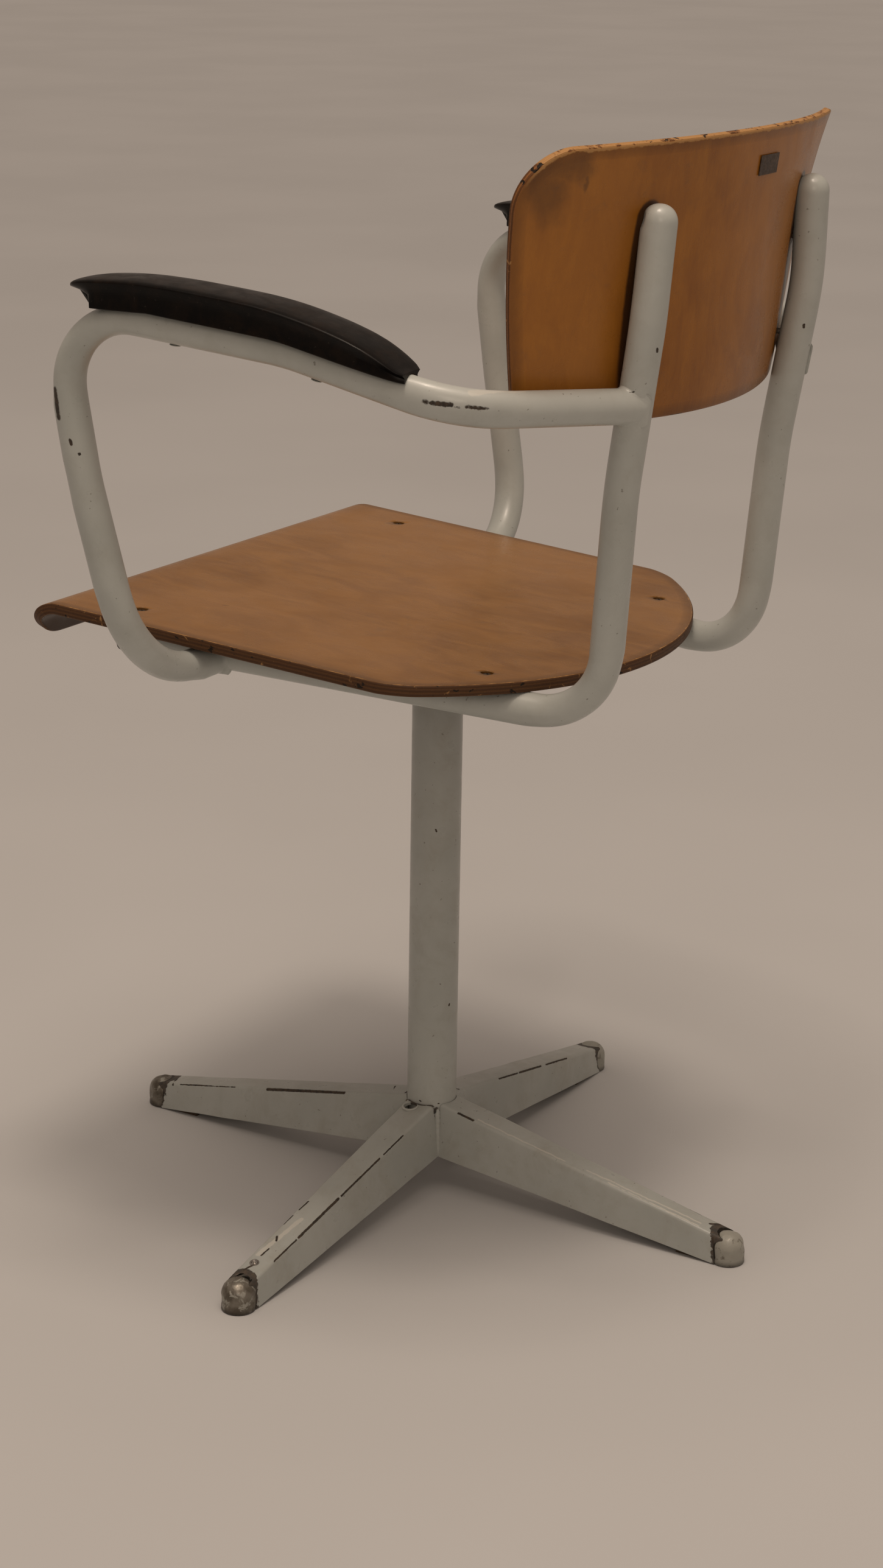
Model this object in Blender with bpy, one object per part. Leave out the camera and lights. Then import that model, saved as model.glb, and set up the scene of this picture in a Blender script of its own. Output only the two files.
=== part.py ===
"""Swivel armchair: tubular steel frame, plywood shells, four-legged pressed base.

Metres, +Z up. The origin is on the floor, on the axis of the centre column.
-Y is the front of the chair and +X is the sitter's left.
Everything above the column turns about the Z axis on a spindle.
"""
import math

import bmesh
import bpy
from mathutils import Matrix, Vector

# ---------------------------------------------------------------- fits and stock
GAP = 0.0003                # clearance between two pieces that touch
TUBE_R = 0.0125             # frame tube, 25 mm outside
TUBE_WALL = 0.002
TUBE_SIDES = 12
ROUND = 24                  # sides of a turned piece

# ---------------------------------------------------------------- base
COLUMN_R = 0.020            # 40 mm outside
COLUMN_BORE = 0.0175
COLUMN_FOOT = 0.030
COLUMN_TOP = 0.450
LEG_IN = COLUMN_R + GAP     # where a leg leaves the column
LEG_OUT = 0.262             # where the foot cap takes over
LEG_WALL = 0.002
LEG_TOP_Z = (0.0738, 0.0250)        # upper face, at LEG_IN and at LEG_OUT
LEG_LOW_Z = (0.0300, 0.0012)        # lower edge
LEG_TOP_HALF = (0.0120, 0.0098)     # half width of the flat upper face
LEG_LOW_HALF = (0.0185, 0.0128)     # half width at the lower edge
LEG_SHOULDER = 0.0050       # the bend into the side starts this far below the upper face
LEG_BEND = 0.0030           # how far the bend reaches in over the upper face
LEG_ROUND = 0.0010          # fall of the upper face over its bend
LEG_STEPS = (0, 0.4, 0.75, 1)       # sections, as shares of the leg's length
LEG_OVERRUN = 0.004         # the leg runs on over the cap before the cap's seat is cut
FOOT_AT = 0.2727            # foot centre, from the column axis
FOOT_R = 0.0131
FOOT_H = 0.0245
CAP_WALL = 0.0014
CAP_LIFT = 0.0006           # the cap stands clear of the floor, on its glide
CAP_STRAIGHT = 0.50         # share of the cap's height that is straight
CAP_FULLNESS = 0.8          # below 1 the dome is fuller than an ellipse
GLIDE_HALF = 0.0088
GLIDE_H = 0.0095
GLIDE_BACK = 0.232          # inner end of the glide, from the column axis

# ---------------------------------------------------------------- swivel
BUSH_R = COLUMN_BORE - GAP
SPINDLE_R = 0.011
LOWER_BUSH = (0.226, 0.251)
UPPER_BUSH = (0.425, COLUMN_TOP + GAP)
BUSH_FLANGE = 0.002
SPINDLE_FOOT = 0.208
SPINDLE_PROUD = 0.002       # above the carrier plate
CHAMFER = 0.001
CLIP_GROOVE = (0.2160, 0.2180)
GROOVE_DEPTH = 0.0015
CLIP_PROUD = 0.0022
CLIP_OPENING = math.radians(50)
WASHER_T = 0.0017
PLATE_Z = 0.4550            # underside of the carrier plate
PLATE_T = 0.004
PLATE_HALF = (0.055, 0.052)
PLATE_CORNER = 0.012
BEAM_AT = 0.040             # each cross beam's distance from the axis, front and rear
BEAM_HALF = 0.011
BEAM_TOP = 0.4770
BEAM_WALL = 0.002

# ---------------------------------------------------------------- seat
SEAT_Z = 0.4900             # upper face over the column axis
SEAT_FALL = 0.0598          # fall towards the back, per metre
SEAT_T = 0.0085
SEAT_HALF_BACK = 0.2065
SEAT_HALF_FRONT = 0.2150
SEAT_BACK_Y = 0.189
SEAT_BACK_R = 0.260         # radius of the rear edge in plan
SEAT_CORNER_BACK = 0.014
SEAT_CORNER_FRONT = 0.036
LIP_START = -0.205          # where the front edge starts to roll down
LIP_R = 0.030
LIP_TURN = math.radians(72)
LIP_FLAT = 0.011
SEAT_SCREWS = (("rear", 0.1329, 0.1224), ("front", 0.1796, -0.1517))

# ---------------------------------------------------------------- side frames
RAIL_SPLAY = 0.171          # outward run of a rail, per metre towards the front
RAIL_FRONT_Y = -0.165
REAR_BEND = 0.050
UPRIGHT_TOP = Vector((0.1212, 0.2415, 0.8110))
UPRIGHT_HIGH = Vector((0.1266, 0.2388, 0.7450))
UPRIGHT_LOW = Vector((0.1225, 0.2205, 0.6250))
REAR_CORNER_Y = 0.2085
DOME_H = 0.0125
PLUG_DEPTH = 0.008
PLUG_RIM = 0.0020
PLUG_CROWN = 0.0036

# ---------------------------------------------------------------- arms
ARM_ROUTE = (               # corners of the tube's centre line, bend radius
    (Vector((0.1240, 0.2324, 0.6867)), 0.0),
    (Vector((0.2540, 0.1668, 0.6953)), 0.072),
    (Vector((0.2669, 0.0411, 0.7252)), 0.200),
    (Vector((0.2896, -0.1395, 0.7444)), 0.050),
    (Vector((0.2853, -0.1194, 0.6200)), 0.300),
    (Vector((0.2715, -0.0870, 0.4700)), 0.075),
    (Vector((0.1735, -0.0880, 0.4710)), 0.0),
)

# ---------------------------------------------------------------- arm pads
PAD_STATIONS = (            # run along the arm in plan, crown height, half width
    (0.1730, 0.7186, 0.0152),
    (0.1765, 0.7207, 0.0172),
    (0.1810, 0.7238, 0.0187),
    (0.1880, 0.7284, 0.0201),
    (0.1971, 0.7336, 0.0212),
    (0.2060, 0.7377, 0.0219),
    (0.2149, 0.7412, 0.0223),
    (0.2320, 0.7468, 0.0227),
    (0.2420, 0.7496, 0.0229),
    (0.2548, 0.7528, 0.0230),
    (0.2640, 0.7549, 0.0231),
    (0.2740, 0.7568, 0.0232),
    (0.2957, 0.7600, 0.0232),
    (0.3368, 0.7641, 0.0232),
    (0.3600, 0.7656, 0.0231),
    (0.3730, 0.7661, 0.0230),
    (0.3850, 0.7660, 0.0228),
    (0.3970, 0.7655, 0.0223),
    (0.4085, 0.7646, 0.0211),
    (0.4170, 0.7634, 0.0190),
    (0.4230, 0.7620, 0.0160),
    (0.4270, 0.7604, 0.0115),
)
PAD_FRONT_LOW = 0.7440      # underside where the pad runs out over the front bend
PAD_UNDERCUT = 0.4085       # the front face leans back from the tip to here
PAD_LEAN = 0.90
PAD_HUG = 0.0085            # lower edge, above the tube's centre
PAD_CLEAR = 0.0009          # between the saddle and the tube
PAD_OVER_BEND = 0.3750      # from here on the tube bends down, away from the pad
PAD_CLEAR_BEND = 0.0014
PAD_FOOT_HALF = 0.0118      # least half width of the underside
PAD_SCREWS = (("rear", 0.240), ("front", 0.350))

# ---------------------------------------------------------------- backrest
BACK_T = 0.0060
BACK_TOP = 0.8646
BACK_LOW = 0.6703
BACK_TOP_BOW = 0.047        # the top edge drops by this times x squared
BACK_LOW_BOW = 0.131
BACK_CORNER_TOP = 0.040
BACK_CORNER_LOW = 0.0228
BACK_MID = 0.7676           # height at which the next values hold
BACK_HALF = 0.2161
BACK_WIDEN = 0.2317         # gain of half width, per metre of height
BACK_Y = (0.2451, 0.0625, 0.0173, 4.2649)   # rear face on the centre line
BACK_R = (0.4013, 1.1312, 5.3568)           # radius in plan
BACK_SCREWS = (("lower", 0.705), ("upper", 0.775))
LABEL_AT = (-0.0243, 0.8386)
LABEL_HALF = (0.0158, 0.0070)
LABEL_T = 0.0005

# ---------------------------------------------------------------- fasteners
SHANK_R = 0.0021
HOLE_R = 0.0026
HEAD_R = 0.0045
HEAD_H = 0.0022
BACK_HEAD_R = 0.0055
BACK_HEAD_H = 0.0026
SEAT_SINK = 0.0030          # depth of the seat's counterbores
SIDES = (("left", 1), ("right", -1))


# ================================================================ tools
def clear_scene():
    for obj in list(bpy.data.objects):
        bpy.data.objects.remove(obj, do_unlink=True)


def material(name, colour, roughness, metallic=0.0):
    mat = bpy.data.materials.new(name)
    mat.use_nodes = True
    shader = mat.node_tree.nodes["Principled BSDF"]
    shader.inputs["Base Color"].default_value = (*colour, 1.0)
    shader.inputs["Roughness"].default_value = roughness
    shader.inputs["Metallic"].default_value = metallic
    return mat


def place(name, bm, look, parent=None):
    """Turn a bmesh in world coordinates into a named, smooth-shaded object."""
    bmesh.ops.recalc_face_normals(bm, faces=bm.faces)
    mesh = bpy.data.meshes.new(name)
    bm.to_mesh(mesh)
    bm.free()
    mesh.shade_smooth()
    mesh.set_sharp_from_angle(angle=math.radians(35))
    obj = bpy.data.objects.new(name, mesh)
    bpy.context.collection.objects.link(obj)
    if look is not None:
        colour, roughness, metallic = look
        mesh.materials.append(material(name + "_finish", colour, roughness, metallic))
    if parent is not None:
        obj.parent = parent
    return obj


def cutter(name, bm):
    obj = place(name, bm, None)
    obj.hide_render = True
    obj.display_type = "WIRE"
    return obj


def cut(obj, tools):
    for tool in tools:
        mod = obj.modifiers.new("cut_" + tool.name, "BOOLEAN")
        mod.operation = "DIFFERENCE"
        mod.solver = "EXACT"
        mod.object = tool


def stack_rings(bm, rings, close_ends=True):
    """Skin a list of rings, each a list of points with the same count."""
    rows = [[bm.verts.new(p) for p in ring] for ring in rings]
    count = len(rows[0])
    for low, high in zip(rows, rows[1:]):
        for i in range(count):
            j = (i + 1) % count
            bm.faces.new((low[i], low[j], high[j], high[i]))
    if close_ends:
        bm.faces.new(list(reversed(rows[0])))
        bm.faces.new(rows[-1])
    return rows


def turned(bm, profile, sides=ROUND, frame=Matrix()):
    """Turn a closed (radius, height) outline about Z; radius 0 is a pole."""
    columns = []
    for i in range(sides):
        turn = 2 * math.pi * i / sides
        columns.append((math.cos(turn), math.sin(turn)))
    rows = []
    for radius, height in profile:
        if radius == 0:
            rows.append([bm.verts.new(frame @ Vector((0, 0, height)))])
        else:
            rows.append([bm.verts.new(frame @ Vector((radius * c, radius * s, height)))
                         for c, s in columns])
    for low, high in zip(rows, rows[1:] + rows[:1]):
        if len(low) == 1 and len(high) == 1:
            continue
        for i in range(sides):
            j = (i + 1) % sides
            corners = [low[i % len(low)], low[j % len(low)],
                       high[j % len(high)], high[i % len(high)]]
            face = [v for k, v in enumerate(corners) if v not in corners[:k]]
            bm.faces.new(face)


def smooth_corners(corners, steps=6):
    """Round each inner corner (point, radius) of a polyline with an arc."""
    path = [corners[0][0].copy()]
    for (a, _), (b, radius), (c, _) in zip(corners, corners[1:], corners[2:]):
        to_a = (a - b).normalized()
        to_c = (c - b).normalized()
        half = to_a.angle(to_c) / 2
        run = radius / math.tan(half)
        centre = b + (to_a + to_c).normalized() * (radius / math.sin(half))
        first = b + to_a * run - centre
        last = b + to_c * run - centre
        sweep = first.angle(last)
        count = max(2, math.ceil(sweep / math.radians(90) * steps))
        for k in range(count + 1):
            t = k / count
            arm = (first * math.sin((1 - t) * sweep) + last * math.sin(t * sweep))
            path.append(centre + arm / math.sin(sweep))
    path.append(corners[-1][0].copy())
    return path


def frames_along(path):
    """A carried frame (origin, side, up) at every point of a path."""
    frames = []
    side = None
    for i, point in enumerate(path):
        before = path[max(i - 1, 0)]
        after = path[min(i + 1, len(path) - 1)]
        ahead = (after - before).normalized()
        if side is None:
            side = ahead.orthogonal().normalized()
        side = (side - ahead * side.dot(ahead)).normalized()
        frames.append((point, side.copy(), ahead.cross(side), ahead))
    return frames


def ring(frame, radius, sides=TUBE_SIDES, shift=0.0):
    point, side, up, ahead = frame
    out = []
    for i in range(sides):
        turn = 2 * math.pi * i / sides
        out.append(point + ahead * shift + side * radius * math.cos(turn)
                   + up * radius * math.sin(turn))
    return out


def solid_tube(path, radius, sides=TUBE_SIDES):
    bm = bmesh.new()
    stack_rings(bm, [ring(f, radius, sides) for f in frames_along(path)])
    return bm


def hollow_tube(path, radius, wall, dome=0.0):
    """A tube with an open far end; with a dome its first end is closed."""
    frames = frames_along(path)
    outer = [ring(f, radius) for f in frames]
    inner = [ring(f, radius - wall) for f in frames]
    if dome:
        first = frames[0]
        lead = [ring(first, radius * math.cos(a), shift=-dome * math.sin(a))
                for a in (math.radians(80), math.radians(58), math.radians(30))]
        outer = lead + outer
        bm = bmesh.new()
        stack_rings(bm, outer + list(reversed(inner)))
        return bm
    bm = bmesh.new()
    rows = stack_rings(bm, outer + list(reversed(inner)), close_ends=False)
    count = TUBE_SIDES
    for i in range(count):
        j = (i + 1) % count
        bm.faces.new((rows[-1][i], rows[-1][j], rows[0][j], rows[0][i]))
    return bm


def slab(rear, front):
    """Join two equal grids of points, rows by columns, into one closed sheet."""
    bm = bmesh.new()
    rows = len(rear)
    cols = len(rear[0])
    back = [[bm.verts.new(p) for p in line] for line in rear]
    face = [[bm.verts.new(p) for p in line] for line in front]
    for i in range(rows - 1):
        for j in range(cols - 1):
            bm.faces.new((back[i][j], back[i][j + 1], back[i + 1][j + 1], back[i + 1][j]))
            bm.faces.new((face[i][j], face[i + 1][j], face[i + 1][j + 1], face[i][j + 1]))
    rim = [(0, j) for j in range(cols)] + [(i, cols - 1) for i in range(1, rows)]
    rim += [(rows - 1, j) for j in range(cols - 2, -1, -1)]
    rim += [(i, 0) for i in range(rows - 2, 0, -1)]
    for (a, b), (c, d) in zip(rim, rim[1:] + rim[:1]):
        bm.faces.new((back[a][b], face[a][b], face[c][d], back[c][d]))
    return bm


def edge_columns(half, corner, flat_steps, corner_steps):
    """Positions from -half to half, drawn together where the corners turn."""
    flat = half - corner
    middle = [flat * (2 * i / flat_steps - 1) for i in range(flat_steps + 1)]
    turn = [flat + corner * math.sin(math.pi / 2 * k / corner_steps)
            for k in range(1, corner_steps + 1)]
    return [-x for x in reversed(turn)] + middle + turn


def corner_drop(x, half, corner, radius):
    """How far a rounded corner has pulled the edge in at x."""
    into = min(max((abs(x) - (half - corner)) / corner, 0.0), 1.0)
    return radius * (1 - math.sqrt(1 - into * into))


def aim(point, direction):
    """A frame at a point whose Z looks along a direction."""
    turn = Vector((0, 0, 1)).rotation_difference(direction).to_matrix().to_4x4()
    return Matrix.Translation(point) @ turn


def screw(name, point, direction, length, parent, head_r=HEAD_R, head_h=HEAD_H):
    """Pan-head screw: the underside of its head is at the point."""
    outline = [(0, -head_h), (head_r * 0.6, -head_h), (head_r, -head_h * 0.4),
               (head_r, 0), (SHANK_R, 0), (SHANK_R, length * 0.9), (0, length)]
    bm = bmesh.new()
    turned(bm, outline, 10, aim(point, direction))
    return place(name, bm, STEEL, parent)


def bore(name, point, direction, length, radius=HOLE_R, sides=12):
    bm = bmesh.new()
    outline = [(0, 0), (radius, 0), (radius, length), (0, length)]
    turned(bm, outline, sides, aim(point, direction))
    return cutter(name, bm)


# ================================================================ finishes
PAINT = ((0.47, 0.48, 0.43), 0.42, 0.0)
STEEL = ((0.45, 0.44, 0.42), 0.38, 1.0)
DARK_STEEL = ((0.16, 0.15, 0.14), 0.5, 1.0)
CAP_STEEL = ((0.36, 0.35, 0.32), 0.45, 0.9)
SEAT_WOOD = ((0.42, 0.21, 0.09), 0.40, 0.0)
BACK_WOOD = ((0.36, 0.15, 0.045), 0.38, 0.0)
PAD_PLASTIC = ((0.015, 0.015, 0.017), 0.32, 0.0)
NYLON = ((0.70, 0.68, 0.60), 0.5, 0.0)
GLIDE_PLASTIC = ((0.09, 0.055, 0.03), 0.7, 0.0)
PLUG_PLASTIC = ((0.02, 0.02, 0.02), 0.5, 0.0)
BRASS = ((0.60, 0.42, 0.18), 0.35, 1.0)
LABEL_METAL = ((0.06, 0.05, 0.045), 0.5, 0.6)


# ================================================================ base
def lerp(pair, t):
    return pair[0] + (pair[1] - pair[0]) * t


def leg_section(run):
    """Outline of a leg at a distance from the axis: half widths and heights."""
    t = (run - LEG_IN) / (LEG_OUT - LEG_IN)
    return (lerp(LEG_TOP_HALF, t), lerp(LEG_LOW_HALF, t), lerp(LEG_TOP_Z, t), lerp(LEG_LOW_Z, t))


def leg_ring(run):
    """Section of a leg: a channel open below, outside first, then back inside."""
    top_half, low_half, top, low = leg_section(run)
    shoulder = lerp((low_half, top_half), 0.85)
    wall = LEG_WALL
    outside = [(low_half, low), (shoulder, top - LEG_SHOULDER), (top_half, top - LEG_ROUND),
               (top_half - LEG_BEND, top)]
    inside = [(low_half - wall, low), (shoulder - wall, top - LEG_SHOULDER - wall / 2),
              (top_half - wall, top - LEG_ROUND - wall * 0.9),
              (top_half - LEG_BEND - wall * 0.75, top - wall)]
    loop = outside + [(-x, z) for x, z in reversed(outside)]
    loop += [(-x, z) for x, z in inside] + list(reversed(inside))
    return [Vector((run, x, z)) for x, z in loop]


def build_leg():
    bm = bmesh.new()
    stack_rings(bm, [leg_ring(LEG_OUT * share + LEG_OVERRUN) for share in LEG_STEPS])
    return bm


def mitre_prism():
    """Everything nearer to the neighbouring legs than to the leg along +X."""
    far = 0.06
    plan = [(GAP, 0), (far + GAP, far), (-far, far), (-far, -far), (far + GAP, -far)]
    bm = bmesh.new()
    stack_rings(bm, [[Vector((x, y, z)) for x, y in plan] for z in (-0.01, 0.10)])
    return bm


def spin_copy(bm, quarter):
    bmesh.ops.rotate(bm, cent=(0, 0, 0), verts=bm.verts,
                     matrix=Matrix.Rotation(quarter * math.pi / 2, 3, "Z"))
    return bm


def round_bar(x_in, x_out, half, low, high, grow=0.0, steps=8):
    """A bar along X whose outer end is a half circle."""
    radius = half + grow
    plan = [(x_in - grow, -radius)]
    for k in range(steps + 1):
        turn = -math.pi / 2 + math.pi * k / steps
        plan.append((x_out + radius * math.cos(turn), radius * math.sin(turn)))
    plan.append((x_in - grow, radius))
    bm = bmesh.new()
    stack_rings(bm, [[Vector((x, y, z)) for x, y in plan] for z in (low, high)])
    return bm


def cap_profile():
    """Domed cup, open below."""
    straight = FOOT_H * CAP_STRAIGHT
    rise = FOOT_H - straight
    outer = [(FOOT_R, CAP_LIFT), (FOOT_R, straight)]
    for k in range(1, 4):
        turn = math.radians(90) * k / 4
        outer.append((FOOT_R * math.cos(turn) ** CAP_FULLNESS, straight + rise * math.sin(turn)))
    outer.append((0, FOOT_H))
    inner = [(0, FOOT_H - CAP_WALL)]
    inner_r = FOOT_R - CAP_WALL
    for k in (2, 1):
        turn = math.radians(90) * k / 3
        inner.append((inner_r * math.cos(turn) ** CAP_FULLNESS,
                      straight + (rise - CAP_WALL) * math.sin(turn)))
    inner += [(inner_r, straight - CAP_WALL), (inner_r, CAP_LIFT)]
    return outer + inner


def build_base():
    column = bmesh.new()
    turned(column, [(COLUMN_BORE, COLUMN_FOOT), (COLUMN_R, COLUMN_FOOT),
                    (COLUMN_R, COLUMN_TOP), (COLUMN_BORE, COLUMN_TOP)])
    place("column_tube", column, PAINT)

    shaft = bmesh.new()
    turned(shaft, [(0, 0), (COLUMN_R + GAP, 0), (COLUMN_R + GAP, 0.1), (0, 0.1)])
    shaft_cut = cutter("column_clearance", shaft)

    for quarter, side in enumerate(("left", "rear", "right", "front")):
        turn = Matrix.Rotation(quarter * math.pi / 2, 4, "Z")
        spot = bmesh.new()
        turned(spot, [(0, -0.01), (FOOT_R + GAP, -0.01), (FOOT_R + GAP, 0.05), (0, 0.05)],
               ROUND, turn @ Matrix.Translation((FOOT_AT, 0, 0)))
        spot_cut = cutter("foot_clearance_" + side, spot)
        leg = place("base_leg_" + side, spin_copy(build_leg(), quarter), PAINT)
        mitre = cutter("mitre_clearance_" + side, spin_copy(mitre_prism(), quarter))
        cut(leg, [mitre, shaft_cut, spot_cut])

        cap = bmesh.new()
        turned(cap, cap_profile(), ROUND, turn @ Matrix.Translation((FOOT_AT, 0, 0)))
        cap_obj = place("foot_cap_" + side, cap, CAP_STEEL)
        bar = round_bar(GLIDE_BACK, FOOT_AT, GLIDE_HALF, -0.01, GLIDE_H + GAP, GAP)
        cut(cap_obj, [cutter("glide_clearance_" + side, spin_copy(bar, quarter))])
        glide = round_bar(GLIDE_BACK, FOOT_AT, GLIDE_HALF, 0.0, GLIDE_H)
        place("foot_glide_" + side, spin_copy(glide, quarter), GLIDE_PLASTIC)


# ================================================================ swivel
def build_swivel(turning):
    inner = SPINDLE_R + GAP
    low, high = LOWER_BUSH
    bush = bmesh.new()
    turned(bush, [(inner, low), (BUSH_R, low), (BUSH_R, high), (inner, high)])
    place("lower_bush", bush, NYLON)

    low, high = UPPER_BUSH
    bush = bmesh.new()
    turned(bush, [(inner, low), (BUSH_R, low), (BUSH_R, high), (COLUMN_R, high),
                  (COLUMN_R, high + BUSH_FLANGE), (inner, high + BUSH_FLANGE)])
    place("upper_bush", bush, NYLON)

    top = high + BUSH_FLANGE
    washer = bmesh.new()
    rim = COLUMN_R - CHAMFER
    turned(washer, [(inner, top + GAP), (rim, top + GAP), (rim, PLATE_Z - GAP),
                    (inner, PLATE_Z - GAP)])
    place("thrust_washer", washer, BRASS, turning)

    spindle_top = PLATE_Z + PLATE_T + SPINDLE_PROUD
    g_low, g_high = CLIP_GROOVE
    groove_r = SPINDLE_R - GROOVE_DEPTH
    spindle = bmesh.new()
    turned(spindle, [(0, SPINDLE_FOOT), (SPINDLE_R - CHAMFER, SPINDLE_FOOT),
                     (SPINDLE_R, SPINDLE_FOOT + CHAMFER), (SPINDLE_R, g_low),
                     (groove_r, g_low), (groove_r, g_high),
                     (SPINDLE_R, g_high), (SPINDLE_R, spindle_top), (0, spindle_top)])
    place("spindle", spindle, STEEL, turning)

    washer = bmesh.new()
    rim = COLUMN_BORE - GROOVE_DEPTH
    washer_top = g_high + GAP + WASHER_T
    turned(washer, [(inner, g_high + GAP), (rim, g_high + GAP), (rim, washer_top),
                    (inner, washer_top)])
    place("retaining_washer", washer, STEEL, turning)

    clip = bmesh.new()
    z_low, z_high = g_low + GAP, g_high - GAP
    r_in = groove_r + GAP
    r_out = SPINDLE_R + CLIP_PROUD
    rings = []
    steps = 20
    for k in range(steps + 1):
        turn = CLIP_OPENING / 2 + (2 * math.pi - CLIP_OPENING) * k / steps
        c, s = math.cos(turn), math.sin(turn)
        rings.append([Vector((r * c, r * s, z)) for r, z in
                      ((r_in, z_low), (r_out, z_low), (r_out, z_high), (r_in, z_high))])
    stack_rings(clip, rings)
    place("spindle_circlip", clip, DARK_STEEL, turning)

    plate = bmesh.new()
    hx, hy = PLATE_HALF
    corner = PLATE_CORNER
    plan = []
    for cx, cy, start in ((hx, hy, 0), (-hx, hy, 90), (-hx, -hy, 180), (hx, -hy, 270)):
        for k in range(4):
            turn = math.radians(start + 30 * k)
            plan.append((cx - math.copysign(corner, cx) + corner * math.cos(turn),
                         cy - math.copysign(corner, cy) + corner * math.sin(turn)))
    stack_rings(plate, [[Vector((x, y, z)) for x, y in plan] for z in (PLATE_Z, PLATE_Z + PLATE_T)])
    carrier = place("carrier_plate", plate, PAINT, turning)
    hole = bore("spindle_clearance", Vector((0, 0, PLATE_Z - 0.01)), Vector((0, 0, 1)), 0.03,
                SPINDLE_R + GAP, ROUND)
    cut(carrier, [hole])


# ================================================================ side frames
def rail_x(y):
    _, x_rear, y_rear = SEAT_SCREWS[0]
    return x_rear + (y_rear - y) * RAIL_SPLAY


def rail_z(y):
    return SEAT_Z - SEAT_T - TUBE_R - GAP - SEAT_FALL * y


def side_path():
    corner = Vector((rail_x(REAR_CORNER_Y), REAR_CORNER_Y, rail_z(REAR_CORNER_Y)))
    front = Vector((rail_x(RAIL_FRONT_Y), RAIL_FRONT_Y, rail_z(RAIL_FRONT_Y)))
    return smooth_corners([(UPRIGHT_TOP, 0), (UPRIGHT_HIGH, 0.20), (UPRIGHT_LOW, 0.35),
                           (corner, REAR_BEND), (front, 0)])


def upright_point(z):
    """Centre of an upright at a height."""
    path = side_path()
    for a, b in zip(path, path[1:]):
        if b.z <= z <= a.z:
            return b.lerp(a, (z - b.z) / (a.z - b.z))
    return path[0]


def mirrored(points, side):
    return [Vector((p.x * side, p.y, p.z)) for p in points]


def arm_track():
    """The arm's centre line from the upright to its foremost point, in plan.

    Each entry is the run covered so far, the point and the level heading there.
    """
    path = smooth_corners(ARM_ROUTE)
    track = []
    run = 0.0
    for i, point in enumerate(path[:-1]):
        before = path[max(i - 1, 0)]
        after = path[i + 1]
        if after.y > point.y:
            break
        if i:
            run += (point - before).xy.length
        heading = (after - before).normalized()
        level = Vector((heading.x, heading.y, 0)).normalized()
        track.append((run, point, level))
    return track


def arm_frame(run):
    """Centre, level heading, outward side and slope of the arm tube over a run."""
    track = arm_track()
    for (r0, p0, h0), (r1, p1, h1) in zip(track, track[1:]):
        if r0 <= run <= r1:
            share = (run - r0) / (r1 - r0)
            heading = h0.lerp(h1, share).normalized()
            slope = (p1.z - p0.z) / (r1 - r0)
            return p0.lerp(p1, share), heading, Vector((-heading.y, heading.x, 0)), slope
    last_run, point, _ = track[-1]
    heading = track[-4][2]
    point = point + heading * (run - last_run)
    return point, heading, Vector((-heading.y, heading.x, 0)), 0.0


def flip(p, side):
    return Vector((p.x * side, p.y, p.z))


def build_side(label, side, turning, back_clearance):
    path = mirrored(side_path(), side)
    frame = place("side_frame_" + label, hollow_tube(path, TUBE_R, TUBE_WALL, DOME_H), PAINT,
                  turning)
    tools = [back_clearance]
    seat_up = Vector((0, SEAT_FALL, 1)).normalized()
    for end, x, y in SEAT_SCREWS:
        face = Vector((x * side, y, SEAT_Z - SEAT_FALL * y))
        start = face - seat_up * (SEAT_T + TUBE_R)
        tools.append(bore("seat_hole_%s_%s" % (end, label), start, seat_up, TUBE_R + 0.006))
    for level, z in BACK_SCREWS:
        centre = flip(upright_point(z), side)
        normal = back_normal(centre.x, z)
        tools.append(bore("back_hole_%s_%s" % (level, label), centre, -normal, TUBE_R + 0.008))
    cut(frame, tools)

    plug = bmesh.new()
    end = path[-1]
    ahead = (path[-1] - path[-2]).normalized()
    bore_r = (TUBE_R - TUBE_WALL) * math.cos(math.pi / TUBE_SIDES) - GAP
    turned(plug, [(0, -PLUG_DEPTH), (bore_r - CHAMFER, -PLUG_DEPTH),
                  (bore_r, CHAMFER * 2 - PLUG_DEPTH), (bore_r, GAP), (TUBE_R, GAP),
                  (TUBE_R, PLUG_RIM), (TUBE_R * 0.8, PLUG_CROWN * 0.9), (0, PLUG_CROWN)],
           TUBE_SIDES * 2, aim(end, ahead))
    place("rail_plug_" + label, plug, PLUG_PLASTIC, turning)

    round_frame = cutter("frame_clearance_" + label, solid_tube(path, TUBE_R + GAP, 24))
    arm_line = mirrored(smooth_corners(ARM_ROUTE), side)
    arm = place("arm_tube_" + label, hollow_tube(arm_line, TUBE_R, TUBE_WALL), PAINT, turning)
    arm_tools = [round_frame, back_clearance]
    pad_tools = []
    for end, run in PAD_SCREWS:
        centre, heading, _, slope = arm_frame(run)
        up = (Vector((0, 0, 1)) - heading * slope).normalized()
        seat = centre - up * (TUBE_R + GAP)
        up, seat = flip(up, side), flip(seat, side)
        hole = bore("pad_hole_%s_%s" % (end, label), seat - up * 0.01, up, TUBE_R * 2 + 0.024)
        arm_tools.append(hole)
        pad_tools.append(hole)
        screw("pad_screw_%s_%s" % (end, label), seat, up, TUBE_R * 2 + 0.011, turning)
    cut(arm, arm_tools)
    pad = place("arm_pad_" + label, build_pad(side), PAD_PLASTIC, turning)
    cut(pad, pad_tools)


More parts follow.
